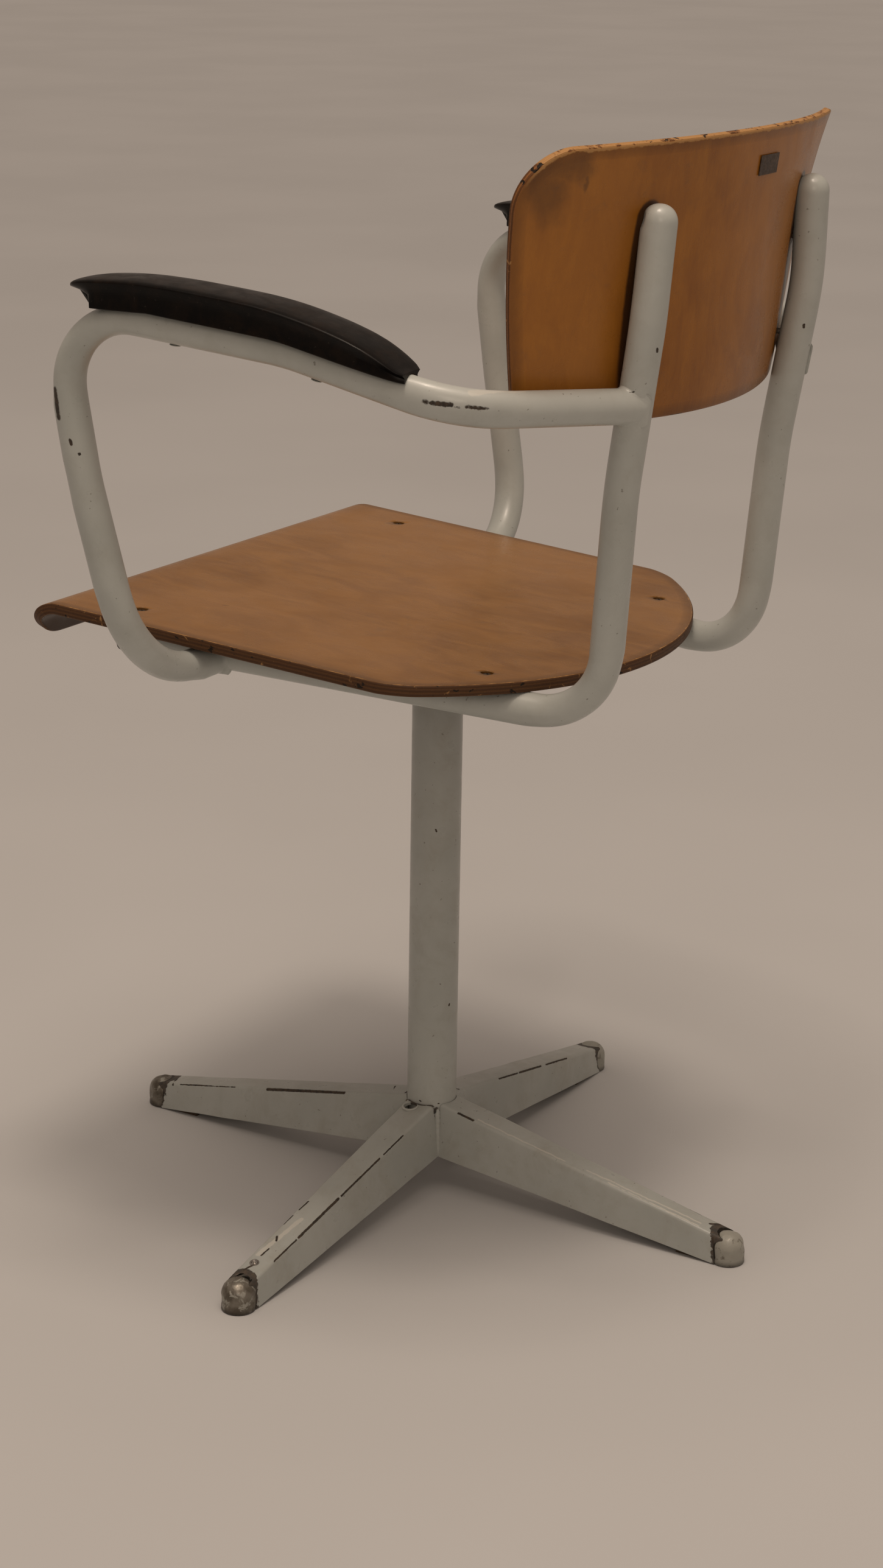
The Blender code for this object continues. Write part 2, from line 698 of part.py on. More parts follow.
# ================================================================ arm pads
def pad_ring(run, crown, half, side):
    """Section of a pad, square to the arm; the front ones lean back to the undercut."""
    foot = run - max(0.0, run - PAD_UNDERCUT) * PAD_LEAN
    centre, heading, outward, slope = arm_frame(foot)
    height = centre.z
    stretch = math.sqrt(1 + slope * slope)
    over_bend = foot > PAD_OVER_BEND
    low = PAD_FRONT_LOW if over_bend else min(height + PAD_HUG, PAD_FRONT_LOW)
    clear = TUBE_R + (PAD_CLEAR_BEND if over_bend else PAD_CLEAR)
    share = min((low - height) / (clear * stretch), 1.0)
    widest = max(clear * math.sqrt(1 - share * share), clear * 0.3)
    arch = []
    for k in range(7):
        out = widest * (1 - k / 3)
        over = height + stretch * math.sqrt(clear * clear - out * out)
        arch.append((out, max(low, over)))
    depth = crown - low
    outer = [(max(half - 0.0035, PAD_FOOT_HALF), low),
             (max(half - 0.0042, PAD_FOOT_HALF - 0.0008), low + depth * 0.5),
             (half - 0.0010, crown - depth * 0.26), (half, crown - depth * 0.13),
             (half * 0.86, crown - depth * 0.05), (half * 0.45, crown - depth * 0.01)]
    section = outer + [(0, crown)] + [(-x, z) for x, z in reversed(outer)]
    section += [(-x, z) for x, z in arch]
    points = []
    for out, z in section:
        rise = min((z - low) / depth, 1.0)
        ahead = (run - foot) * min(rise / 0.8, 1.0) ** 2.5
        point = centre + heading * ahead + outward * out
        points.append(flip(Vector((point.x, point.y, z)), side))
    return points


def build_pad(side):
    bm = bmesh.new()
    stack_rings(bm, [pad_ring(run, crown, half, side) for run, crown, half in PAD_STATIONS])
    return bm


# ================================================================ seat
def seat_point(x_share, run):
    """Upper face: run is the length along the sheet, front negative from the axis."""
    y = max(run, LIP_START)
    t = (SEAT_BACK_Y - y) / (SEAT_BACK_Y - LIP_START)
    x = x_share * lerp((SEAT_HALF_BACK, SEAT_HALF_FRONT), t)
    tilt = math.atan(SEAT_FALL)
    along = Vector((0, -math.cos(tilt), math.sin(tilt)))
    up = Vector((0, math.sin(tilt), math.cos(tilt)))
    point = Vector((x, y, SEAT_Z - SEAT_FALL * y))
    left = LIP_START - run
    if left <= 0:
        return point, up
    turn = min(left / LIP_R, LIP_TURN)
    point += along * LIP_R * math.sin(turn) - up * LIP_R * (1 - math.cos(turn))
    ahead = along * math.cos(turn) - up * math.sin(turn)
    out = up * math.cos(turn) + along * math.sin(turn)
    point += ahead * max(0.0, left - LIP_R * LIP_TURN)
    return point, out


def seat_rear(x):
    edge = SEAT_BACK_Y - (SEAT_BACK_R - math.sqrt(SEAT_BACK_R ** 2 - x * x))
    return edge - corner_drop(x, SEAT_HALF_BACK, SEAT_CORNER_BACK, SEAT_CORNER_BACK)


def build_seat(turning):
    front_run = LIP_START - LIP_R * LIP_TURN - LIP_FLAT
    columns = edge_columns(SEAT_HALF_BACK, SEAT_CORNER_FRONT, 8, 5)
    roll = [LIP_START - LIP_R * LIP_TURN * k / 5 for k in range(6)]
    upper, lower = [], []
    for x in columns:
        rear = seat_rear(x)
        front = front_run + corner_drop(x, SEAT_HALF_BACK, SEAT_CORNER_FRONT, SEAT_CORNER_FRONT)
        runs = [rear + (LIP_START - rear) * k / 4 for k in range(4)] + roll
        runs = [max(r, front) for r in runs] + [front]
        for k in range(len(runs) - 2, 0, -1):
            if runs[k] <= runs[k + 1]:
                runs[k] = runs[k + 1] + 0.0008
        line, under = [], []
        for run in runs:
            point, out = seat_point(x / SEAT_HALF_BACK, run)
            line.append(point)
            under.append(point - out * SEAT_T)
        upper.append(line)
        lower.append(under)
    shell = place("seat_shell", slab(lower, upper), SEAT_WOOD, turning)
    up = Vector((0, SEAT_FALL, 1)).normalized()
    tools = []
    for label, side in SIDES:
        for end, x, y in SEAT_SCREWS:
            face = Vector((x * side, y, SEAT_Z - SEAT_FALL * y))
            name = end + "_" + label
            sink = face - up * SEAT_SINK
            tools.append(bore("seat_sink_" + name, sink, up, 0.01, HEAD_R + GAP))
            tools.append(bore("seat_bore_" + name, face - up * 0.012, up, 0.02))
            screw("seat_screw_" + name, sink + up * GAP, -up, 0.014, turning)
    cut(shell, tools)


# ================================================================ backrest
def series(terms, t):
    return sum(term * t ** power for power, term in enumerate(terms))


def back_rear(x, z):
    """Depth (Y) of the backrest's rear face."""
    t = z - BACK_MID
    radius = series(BACK_R, t)
    return series(BACK_Y, t) - (radius - math.sqrt(radius * radius - x * x))


def back_stretch(z):
    return 1 + BACK_WIDEN * (z - BACK_MID) / BACK_HALF


def back_normal(x, z):
    """Unit normal of the rear face, away from the sitter."""
    step = 0.001
    dx = (back_rear(x + step, z) - back_rear(x - step, z)) / (2 * step)
    dz = (back_rear(x, z + step) - back_rear(x, z - step)) / (2 * step)
    return Vector((-dx, 1, -dz)).normalized()


def back_grids(grow):
    """Rear and front grids; grow moves the rear face out."""
    rear, front = [], []
    rows = 9
    for place_x in edge_columns(BACK_HALF, BACK_CORNER_TOP, 16, 4):
        top = BACK_TOP - BACK_TOP_BOW * place_x ** 2
        top -= corner_drop(place_x, BACK_HALF, BACK_CORNER_TOP, BACK_CORNER_TOP)
        low = BACK_LOW + BACK_LOW_BOW * place_x ** 2
        low += corner_drop(place_x, BACK_HALF, BACK_CORNER_LOW, BACK_CORNER_LOW)
        back_line, front_line = [], []
        for k in range(rows + 1):
            z = low + (top - low) * k / rows
            x = place_x * back_stretch(z)
            point = Vector((x, back_rear(x, z), z))
            normal = back_normal(x, z)
            back_line.append(point + normal * grow)
            front_line.append(point - normal * BACK_T)
        rear.append(back_line)
        front.append(front_line)
    return rear, front


def build_backrest(turning):
    rear, front = back_grids(0.0)
    shell = place("backrest_shell", slab(rear, front), BACK_WOOD, turning)
    tools = []
    for label, side in SIDES:
        for level, z in BACK_SCREWS:
            centre = flip(upright_point(z), side)
            normal = back_normal(centre.x, z)
            face = Vector((centre.x, back_rear(centre.x, z), z))
            reach = (centre - face).dot(normal)
            under_head = centre - normal * (reach + BACK_T + 0.0006)
            name = level + "_" + label
            tools.append(bore("back_bore_" + name, under_head - normal * 0.002, normal,
                              BACK_T + 0.010))
            screw("back_screw_" + name, under_head, normal, reach + BACK_T - 0.004, turning,
                  BACK_HEAD_R, BACK_HEAD_H)
    cut(shell, tools)

    x0, z0 = LABEL_AT
    inner, outer = [], []
    for i in range(5):
        x = x0 + LABEL_HALF[0] * (i / 2 - 1)
        inner_line, outer_line = [], []
        for j in range(3):
            z = z0 + LABEL_HALF[1] * (j - 1)
            point = Vector((x, back_rear(x, z), z))
            normal = back_normal(x, z)
            inner_line.append(point + normal * (GAP * 2))
            outer_line.append(point + normal * (GAP * 2 + LABEL_T))
        inner.append(inner_line)
        outer.append(outer_line)
    place("label_plate", slab(outer, inner), LABEL_METAL, turning)


# ================================================================ carrier
def build_beams(turning):
    """Two pressed channels between the rails, their ends cut to the splay."""
    off = (TUBE_R + GAP) * math.sqrt(1 + RAIL_SPLAY ** 2)
    low = PLATE_Z + PLATE_T + GAP
    wall = BEAM_WALL
    half = BEAM_HALF
    loop = ((half, low), (half, BEAM_TOP), (-half, BEAM_TOP), (-half, low), (-half + wall, low),
            (-half + wall, BEAM_TOP - wall), (half - wall, BEAM_TOP - wall), (half - wall, low))
    for name, at in (("front", -BEAM_AT), ("rear", BEAM_AT)):
        bm = bmesh.new()
        rings = [[Vector((side * (rail_x(at + y) - off), at + y, z)) for y, z in loop]
                 for side in (-1, 1)]
        stack_rings(bm, rings)
        place("cross_beam_" + name, bm, PAINT, turning)


def main():
    clear_scene()
    turning = bpy.data.objects.new("turning", None)
    bpy.context.collection.objects.link(turning)
    build_base()
    build_swivel(turning)
    build_beams(turning)
    rear, front = back_grids(GAP)
    clearance = cutter("backrest_clearance", slab(rear, front))
    for label, side in SIDES:
        build_side(label, side, turning, clearance)
    build_seat(turning)
    build_backrest(turning)


main()
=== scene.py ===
"""Looks of a swivel armchair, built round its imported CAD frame.

Metres, +Z up. The origin is on the floor under the column, -Y is the front
of the chair and +X is the sitter's left. Every piece is modelled in place, so
object coordinates are the frame's own coordinates.
"""
import math

import bmesh
import bpy
import numpy as np
from mathutils import Matrix, Vector, noise
from mathutils.geometry import delaunay_2d_cdt


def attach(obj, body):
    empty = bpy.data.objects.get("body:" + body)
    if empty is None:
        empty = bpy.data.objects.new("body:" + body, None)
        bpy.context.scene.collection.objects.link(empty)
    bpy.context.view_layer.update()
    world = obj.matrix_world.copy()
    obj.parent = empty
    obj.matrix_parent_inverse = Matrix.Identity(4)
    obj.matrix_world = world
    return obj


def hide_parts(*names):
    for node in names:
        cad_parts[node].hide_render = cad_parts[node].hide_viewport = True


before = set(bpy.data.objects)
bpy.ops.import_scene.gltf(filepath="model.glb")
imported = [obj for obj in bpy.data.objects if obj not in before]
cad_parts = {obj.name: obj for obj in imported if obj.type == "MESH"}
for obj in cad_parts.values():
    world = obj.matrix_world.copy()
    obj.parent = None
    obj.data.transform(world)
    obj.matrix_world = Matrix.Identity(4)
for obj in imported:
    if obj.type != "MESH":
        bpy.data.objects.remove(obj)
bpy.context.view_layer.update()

# ---------------------------------------------------------------- stock and base
TUBE_R = 0.0125
COLUMN_R = 0.020
COLUMN_Z = (0.030, 0.450)
LEG_IN = 0.0203
LEG_OUT = 0.262
LEG_WALL = 0.002
LEG_BEND = (0.0030, 0.0012)                 # round of a leg's upper edges, outside; least inside
LEG_SHOULDER = 0.88         # where the side wall meets that round
LEG_CROWN = 0.0003          # rise of the upper face to its middle
LEG_GAP_COLUMN = 0.0004
LEG_GAP_CAP = 0.0005
LEG_TORN = 0.0007           # raggedness of the leg's end at the cap
LEG_RIPPLE = 0.00035
CAP_DENT = 0.0011
CAP_DENT_SCALE = 130
COLUMN_BORE = 0.0175
LEG_TOP_Z = (0.0738, 0.0250)
LEG_LOW_Z = (0.0300, 0.0012)
LEG_TOP_HALF = (0.0120, 0.0098)
LEG_LOW_HALF = (0.0185, 0.0128)
LEG_SLOPE = (LEG_TOP_Z[1] - LEG_TOP_Z[0]) / (LEG_OUT - LEG_IN)
FOOT_AT = 0.2727
FOOT_R = 0.0131
FOOT_H = 0.0245
CAP_LIFT = 0.0006
CAP_STRAIGHT = 0.50         # share of the cap's height that is straight
SMOOTH_BELOW = 0.004        # nothing is dented below this height
RELIEF_AT = (0.0262, -0.0040)               # a hole beside the column, on the left leg
RELIEF_R = 0.0056
RIVET_AT = (0.2497, -0.0016)
QUARTERS = ("left", "rear", "right", "front")

# ---------------------------------------------------------------- seat
SEAT_Z = 0.4900
SEAT_FALL = 0.0598
SEAT_T = 0.0085
SEAT_HALF_BACK = 0.2065
SEAT_HALF_FRONT = 0.2150
SEAT_BACK_Y = 0.189
SEAT_BACK_R = 0.260
SEAT_CORNER_BACK = 0.014
SEAT_CORNER_FRONT = 0.036
LIP_START = -0.205
LIP_R = 0.030
LIP_TURN = math.radians(72)
LIP_FLAT = 0.011
SEAT_SCREWS = (("rear", 0.1329, 0.1224), ("front", 0.1796, -0.1517))
SEAT_SINK = 0.0030
SEAT_RECESS_R = 0.0048
SCREW_HOLE_R = 0.0026
UNDER_HEAD = 0.0003         # clearance of a screw's head, and of the tubes

# ---------------------------------------------------------------- frame
RAIL_SPLAY = 0.171
RAIL_FRONT_Y = -0.165
REAR_BEND = 0.050
REAR_CORNER_Y = 0.2085
UPRIGHT_TOP = Vector((0.1212, 0.2415, 0.8110))
UPRIGHT_HIGH = Vector((0.1266, 0.2388, 0.7450))
UPRIGHT_LOW = Vector((0.1225, 0.2205, 0.6250))
DOME_H = 0.0125
ARM_ROUTE = (
    (Vector((0.1240, 0.2324, 0.6867)), 0.0),
    (Vector((0.2540, 0.1668, 0.6953)), 0.072),
    (Vector((0.2669, 0.0411, 0.7252)), 0.200),
    (Vector((0.2896, -0.1395, 0.7444)), 0.050),
    (Vector((0.2853, -0.1194, 0.6200)), 0.300),
    (Vector((0.2715, -0.0870, 0.4700)), 0.075),
    (Vector((0.1735, -0.0880, 0.4710)), 0.0),
)

# ---------------------------------------------------------------- arm pads
PAD_STATIONS = (
    (0.1730, 0.7186, 0.0152),
    (0.1765, 0.7207, 0.0172),
    (0.1810, 0.7238, 0.0187),
    (0.1880, 0.7284, 0.0201),
    (0.1971, 0.7336, 0.0212),
    (0.2060, 0.7377, 0.0219),
    (0.2149, 0.7412, 0.0223),
    (0.2320, 0.7468, 0.0227),
    (0.2548, 0.7528, 0.0230),
    (0.2740, 0.7568, 0.0232),
    (0.2957, 0.7600, 0.0232),
    (0.3368, 0.7641, 0.0232),
    (0.3600, 0.7656, 0.0231),
    (0.3730, 0.7661, 0.0230),
    (0.3850, 0.7660, 0.0228),
    (0.3970, 0.7655, 0.0223),
    (0.4085, 0.7646, 0.0211),
    (0.4170, 0.7634, 0.0190),
    (0.4230, 0.7620, 0.0160),
    (0.4270, 0.7604, 0.0115),
)
PAD_FRONT_LOW = 0.7440
PAD_UNDERCUT = 0.4085
PAD_LEAN = 0.90
PAD_HUG = 0.0085
PAD_CLEAR = 0.0009
PAD_OVER_BEND = 0.3750
PAD_CLEAR_BEND = 0.0014
PAD_FOOT_HALF = 0.0118
PAD_SCREWS = (("rear", 0.240), ("front", 0.350))

# ---------------------------------------------------------------- backrest
BACK_T = 0.0060
BACK_TOP = 0.8646
BACK_LOW = 0.6703
BACK_TOP_BOW = 0.047
BACK_LOW_BOW = 0.131
BACK_CORNER_TOP = 0.040
BACK_CORNER_LOW = 0.0228
BACK_MID = 0.7676
BACK_HALF = 0.2161
BACK_WIDEN = 0.2317
BACK_Y = (0.2451, 0.0625, 0.0173, 4.2649)
BACK_R = (0.4013, 1.1312, 5.3568)
BACK_SCREWS = (("lower", 0.705), ("upper", 0.775))

# ---------------------------------------------------------------- mesh quality
TUBE_SIDES = 56
TUBE_ANGLES = np.linspace(0, 2 * math.pi, TUBE_SIDES, endpoint=False)
TUBE_STEP = 0.0025          # distance between two rings of a tube
SHARP = 42                  # degrees; faces that meet more sharply keep their edge
SIDES = (("left", 1), ("right", -1))
SHEET_STEP = 0.003          # spacing of points round the edge of a ply sheet
SHEET_GRID = 0.008          # spacing of points over its faces
SHEET_MARGIN = 0.0125       # how far those stay from the edge

# ---------------------------------------------------------------- surface detail
STREAK_FILL = 0.93          # share of a streak's half width where its edge falls
GRAIN_STRETCH = 0.07        # scale along the grain, for fibres and pores
BAND_STRETCH = 0.35         # the same for the broad bands
BARE_WOOD = (0.50, 0.27, 0.095)
WIDEN_IN_BEND = 0.0025      # a tube's spread, times its curvature
FLATTEN_FRAME = 0.006       # how far the outer wall of a bend is drawn in, likewise
FLATTEN_ARM = 0.0145
WELD_SEARCH = 0.0004        # step of the search for the other tube's wall
WELD_CORE = 0.985           # share of the radius that the weld starts from
WELD_SINK = 0.0006          # the weld's first ring lies this far inside the other tube
WELD_REACH = (0.030, 0.026)                 # how far the welded ends run, at the arm's rear and foot
WELD_BEAD = (0.0036, 0.0042)
RIGHT_ARM_NARROWER = Vector((-0.0035, 0, 0))
PINCH_AT = (0.1285, 0.2310, 0.8135)         # a small dent in the top of each upright
PINCH_DEPTH = 0.0032
PINCH_SPREAD = 0.0042


# ================================================================ node graphs
class Graph:
    """A material's node graph, built one call a node."""

    def __init__(self, name):
        self.material = bpy.data.materials.new(name)
        self.material.use_nodes = True
        self.tree = self.material.node_tree
        self.shader = self.tree.nodes["Principled BSDF"]
        coords = self.tree.nodes.new("ShaderNodeTexCoord")
        self.place = coords.outputs["Object"]

    def link(self, value, socket):
        if isinstance(value, bpy.types.NodeSocket):
            self.tree.links.new(value, socket)
        elif socket.type == "RGBA":
            socket.default_value = (*value, 1)
        else:
            socket.default_value = value

    def node(self, kind, inputs, out=0, **settings):
        node = self.tree.nodes.new(kind)
        for key, value in settings.items():
            setattr(node, key, value)
        for key, value in inputs.items():
            self.link(value, node.inputs[key])
        return node.outputs[out]

    def math(self, operation, a, b=0.0, clamp=False):
        return self.node("ShaderNodeMath", {0: a, 1: b}, operation=operation, use_clamp=clamp)

    def vector(self, operation, a, b=(0, 0, 0), out=0):
        return self.node("ShaderNodeVectorMath", {0: a, 1: b}, out, operation=operation)

    def stretched(self, scale, turn=(0, 0, 0)):
        return self.node("ShaderNodeMapping", {"Vector": self.place, "Scale": scale,
                                               "Rotation": turn})

    def noise(self, scale, detail=4.0, rough=0.55, bend=0.0, at=None, out=0):
        return self.node("ShaderNodeTexNoise", {
            "Vector": self.place if at is None else at, "Scale": scale, "Detail": detail,
            "Roughness": rough, "Distortion": bend}, out)

    def field(self, name):
        return self.node("ShaderNodeAttribute", {}, 2, attribute_name=name)

    def ramp(self, value, low, high, out_low=0.0, out_high=1.0):
        return self.node("ShaderNodeMapRange", {
            "Value": value, "From Min": low, "From Max": high, "To Min": out_low,
            "To Max": out_high}, interpolation_type="SMOOTHSTEP")

    def times(self, a, b):
        return self.math("MULTIPLY", a, b)

    def mix(self, share, a, b):
        node = self.tree.nodes.new("ShaderNodeMix")
        node.data_type = "RGBA"
        self.link(share, node.inputs[0])
        self.link(a, node.inputs[6])
        self.link(b, node.inputs[7])
        return node.outputs[2]

    def bump(self, height, distance, strength=1.0, normal=None):
        inputs = {"Height": height, "Distance": distance, "Strength": strength}
        if normal is not None:
            inputs["Normal"] = normal
        return self.node("ShaderNodeBump", inputs)

    def along(self, axis, at=None):
        """One coordinate of a place: 0, 1 or 2 for X, Y or Z."""
        return self.node("ShaderNodeSeparateXYZ", {0: self.place if at is None else at}, axis)

    def reach(self):
        """Distance from the column's axis."""
        return self.vector("LENGTH", self.vector("MULTIPLY", self.place, (1, 1, 0)), out=1)

    def foot_reach(self):
        """Level distance from the middle of the nearest foot cap."""
        flat = self.vector("ABSOLUTE", self.place)
        x, y = self.along(0, flat), self.along(1, flat)
        along = self.math("SUBTRACT", self.math("MAXIMUM", x, y), FOOT_AT)
        across = self.math("MINIMUM", x, y)
        square = self.math("ADD", self.times(along, along), self.times(across, across))
        return self.math("SQRT", square)

    def streaks(self, streaks, ragged=0.0016, grain=420, soft=0.18):
        """1 along each streak (start, end, half width), with torn edges."""
        shake = self.vector("SUBTRACT", self.noise(grain, 3.0, 0.6, out=1), (0.5, 0.5, 0.5))
        shake = self.vector("MULTIPLY", shake, (ragged, ragged, ragged))
        torn = self.vector("ADD", self.place, shake)
        total = 0.0
        for start, end, half in streaks:
            along = Vector(end) - Vector(start)
            away = self.vector("SUBTRACT", torn, tuple(start))
            share = self.vector("DOT_PRODUCT", away, tuple(along / along.length_squared), 1)
            share = self.math("MULTIPLY", share, 1.0, clamp=True)
            foot = self.node("ShaderNodeVectorMath", {0: tuple(along), "Scale": share},
                             operation="SCALE")
            gap = self.vector("DISTANCE", away, foot, 1)
            mask = self.ramp(gap, half * (STREAK_FILL - soft), half * (STREAK_FILL + soft),
                             1.0, 0.0)
            total = self.math("MAXIMUM", total, mask)
        return total

    def finish(self, colour, roughness, normal=None, metallic=None, **constants):
        self.link(colour, self.shader.inputs["Base Color"])
        self.link(roughness, self.shader.inputs["Roughness"])
        if normal is not None:
            self.link(normal, self.shader.inputs["Normal"])
        if metallic is not None:
            self.link(metallic, self.shader.inputs["Metallic"])
        for key, value in constants.items():
            self.shader.inputs[key.replace("_", " ")].default_value = value
        return self.material


# ================================================================ finishes
ENAMEL_DARK = (0.395, 0.415, 0.392)
ENAMEL_LIGHT = (0.462, 0.480, 0.455)
# Colour of the painted shade under the seat.
SEAT_SHADE = (0.20, 0.19, 0.17)
GRIME = (0.24, 0.215, 0.165)
SPECK = (0.10, 0.085, 0.065)
# Colour of rubbed enamel and of painted highlights.
RUB_AND_HIGHLIGHT = (0.60, 0.58, 0.52)
RUST = ((0.020, 0.016, 0.012), (0.075, 0.048, 0.028))
WORN_METAL = ((0.095, 0.080, 0.061), (0.205, 0.188, 0.158))
OLD_ENAMEL = (0.29, 0.285, 0.25)
# Colour the foot caps darken to towards the floor.
CAP_FOOT_DARK = (0.03, 0.024, 0.018)
WOOD_GRIME = (0.10, 0.075, 0.05)
STAIN = (0.050, 0.024, 0.010)
# Colour of the painted shade and dirt beside the uprights.
UPRIGHT_SHADE_AND_DIRT = (0.030, 0.013, 0.007)
# Colour of the painted shade on a ply sheet's underside.
UNDERSIDE_SHADE = (0.040, 0.019, 0.010)
PLY_FIBRE = (0.05, 0.026, 0.012)
PLY_GLINT = (0.50, 0.27, 0.10)
PLY_SPLIT = (0.015, 0.009, 0.005)
DUST = (0.16, 0.14, 0.12)


def tinted(colour, share, lift=0.0):
    return tuple(share * c + lift for c in colour)


def painted_steel(name, chips, rubs_and_highlights, grime, shade=1.0, seams=False):
    """Light grey enamel: chipped to dark steel, rubbed paler and with painted highlights, grimy at
    its seams; painted shade darkens it towards the top when shade is below 1.
    """
    g = Graph(name)
    tone = g.ramp(g.noise(9, 5, 0.6), 0.3, 0.7)
    colour = g.mix(tone, tinted(ENAMEL_DARK, shade), tinted(ENAMEL_LIGHT, shade))
    # Painted shade: the enamel darkens towards the top of the column, under the seat; only where a
    # shade below 1 is given.
    seat_shade = g.ramp(g.along(2), 0.16, 0.45, 0.0, 0.34 if shade < 1 else 0.0)
    colour = g.mix(seat_shade, colour, SEAT_SHADE)
    cloud = g.ramp(g.noise(38, 6, 0.7, 0.4), 0.42, 0.78)
    colour = g.mix(g.times(cloud, grime), colour, GRIME)
    speck = g.ramp(g.noise(310, 2, 0.4), 0.735, 0.765)
    colour = g.mix(g.times(speck, 0.55), colour, SPECK)
    # Paler streaks: rub wear, and painted highlights where light catches the metal.
    rub_and_highlight = g.streaks(rubs_and_highlights, 0.0030, 150)
    colour = g.mix(g.times(rub_and_highlight, 0.55), colour, RUB_AND_HIGHLIGHT)
    chip = g.streaks(chips, 0.0010 if seams else 0.0017)
    if seams:
        shake = g.times(g.math("SUBTRACT", g.noise(300, 3, 0.6), 0.5), 0.0052)
        hub = g.ramp(g.math("ADD", g.reach(), shake), 0.0222, 0.0214, 0.0, 0.9)
        left_leg = g.ramp(g.along(0), 0.0136, 0.0150)
        hub = g.times(hub, left_leg)
        tip = g.ramp(g.math("ADD", g.foot_reach(), shake), 0.0148, 0.0141, 0.0, 0.95)
        chip = g.math("MAXIMUM", chip, g.math("MAXIMUM", hub, tip))
    rust = g.ramp(g.noise(260, 4, 0.7), 0.35, 0.75)
    bare = g.mix(rust, *RUST)
    colour = g.mix(chip, colour, bare)
    rough = g.ramp(g.noise(60, 4, 0.6), 0.3, 0.7, 0.27, 0.40)
    rough = g.math("MAXIMUM", rough, g.times(chip, 0.75))
    peel = g.bump(g.noise(520, 2, 0.5), 0.00010, 0.35)
    wave = g.bump(g.noise(75, 3, 0.5), 0.0006, 0.16, peel)
    pit = g.bump(g.math("SUBTRACT", 1.0, chip), 0.0005, 0.9, wave)
    return g.finish(colour, rough, pit, Coat_Weight=0.15, Coat_Roughness=0.20,
                    Specular_IOR_Level=0.42)


def worn_steel(name, painted):
    """Pressed foot cap: enamel mostly worn off, dark and dented metal below."""
    g = Graph(name)
    patch = g.noise(150, 5, 0.65, 0.6)
    metal = g.mix(g.ramp(g.noise(85, 4, 0.6), 0.35, 0.65), *WORN_METAL)
    shown = g.ramp(patch, 0.46 - 0.2 * painted, 0.56 - 0.2 * painted, 1.0, 0.0)
    colour = g.mix(shown, OLD_ENAMEL, metal)
    # Darker towards the floor, over the cap's lowest few millimetres.
    height = g.ramp(g.along(2), 0.001, 0.006, 0.35, 1.0)
    colour = g.mix(height, CAP_FOOT_DARK, colour)
    rough = g.ramp(g.noise(190, 4, 0.6), 0.3, 0.7, 0.28, 0.55)
    metallic = g.times(shown, 0.55)
    dents = g.bump(g.noise(110, 3, 0.5), 0.0016, 0.5)
    fine = g.bump(g.noise(600, 3, 0.6), 0.0002, 0.5, dents)
    return g.finish(colour, rough, fine, metallic)


def ply_face(name, light, dark, deep, grain_axis, stains, upright_shade_and_dirt, bare_above, worn, shine,
             underside_shade_share=0.0):
    """Varnished face veneer; the grain runs along one axis."""
    g = Graph(name)
    fibre_place, band_place = (
        g.stretched(tuple(share if axis == grain_axis else 1.0 for axis in range(3)))
        for share in (GRAIN_STRETCH, BAND_STRETCH))
    bands = g.noise(34, 5, 0.6, 1.2, band_place)
    fibre = g.noise(520, 6, 0.7, 0.6, fibre_place)
    pores = g.ramp(g.noise(1500, 3, 0.6, 0.0, fibre_place), 0.62, 0.78)
    blotch = g.noise(13, 5, 0.62, 0.5)
    colour = g.mix(g.ramp(bands, 0.30, 0.72), light, dark)
    colour = g.mix(g.times(g.ramp(blotch, 0.45, 0.75), 0.42), colour, deep)
    colour = g.mix(g.ramp(fibre, 0.35, 0.8, 0.0, 0.35), colour, deep)
    colour = g.mix(g.times(pores, 0.35), colour, tinted(deep, 0.3))
    # Broad paler patches: painted sheen in part, and in part broad tone variation of the veneer.
    broad_sheen_and_tone = g.ramp(g.noise(4.2, 3, 0.5), 0.42, 0.62, 0.0, 0.42)
    colour = g.mix(broad_sheen_and_tone, colour, tinted(light, 1.22, 0.022))
    grime = g.ramp(g.noise(52, 6, 0.7, 0.8), 0.55, 0.82, 0.0, 0.30)
    colour = g.mix(grime, colour, WOOD_GRIME)
    outside = g.ramp(g.field("depth"), 0.2, 0.5, 1.0, 0.0)
    stain = g.times(g.streaks(stains, 0.022, 48, 0.70), outside)
    colour = g.mix(g.times(stain, 0.50), colour, STAIN)
    # Painted shade, with dirt: a dark band beside each upright where it meets the backrest, on the
    # rear face only.
    shade = g.times(g.streaks(upright_shade_and_dirt, 0.0015, 90, 0.10), outside)
    colour = g.mix(g.times(shade, 0.90), colour, UPRIGHT_SHADE_AND_DIRT)
    rim = g.field("edge_gap")
    near = g.math("ADD", rim, g.times(g.noise(110, 4, 0.7), -0.0045))
    dirty = g.ramp(near, -0.001, 0.010, 0.45, 0.0)
    colour = g.mix(dirty, colour, tinted(deep, 0.45))
    bare = g.ramp(near, worn - 0.0008, worn + 0.0006, 0.85, 0.0)
    bare = g.times(bare, g.ramp(g.along(2), bare_above, bare_above + 0.02))
    colour = g.mix(bare, colour, BARE_WOOD)
    # Painted shade: the underside is darkened as if in shadow, strongest on the seat so the inside
    # of its curled lip reads dark.
    underside_shade = g.ramp(g.field("depth"), 0.6, 0.9, 0.0, underside_shade_share)
    colour = g.mix(underside_shade, colour, UNDERSIDE_SHADE)
    rough = g.ramp(g.noise(24, 5, 0.65, 0.5), 0.3, 0.75, 0.24, 0.36)
    rough = g.math("MAXIMUM", rough, g.times(bare, 0.62))
    grain = g.bump(fibre, 0.00022, 0.35)
    wave = g.bump(g.noise(26, 3, 0.5, 0.3), 0.0012, 0.22, grain)
    lift = g.bump(g.times(bare, -1.0), 0.0004, 0.6, wave)
    return g.finish(colour, rough, lift, Specular_IOR_Level=shine)


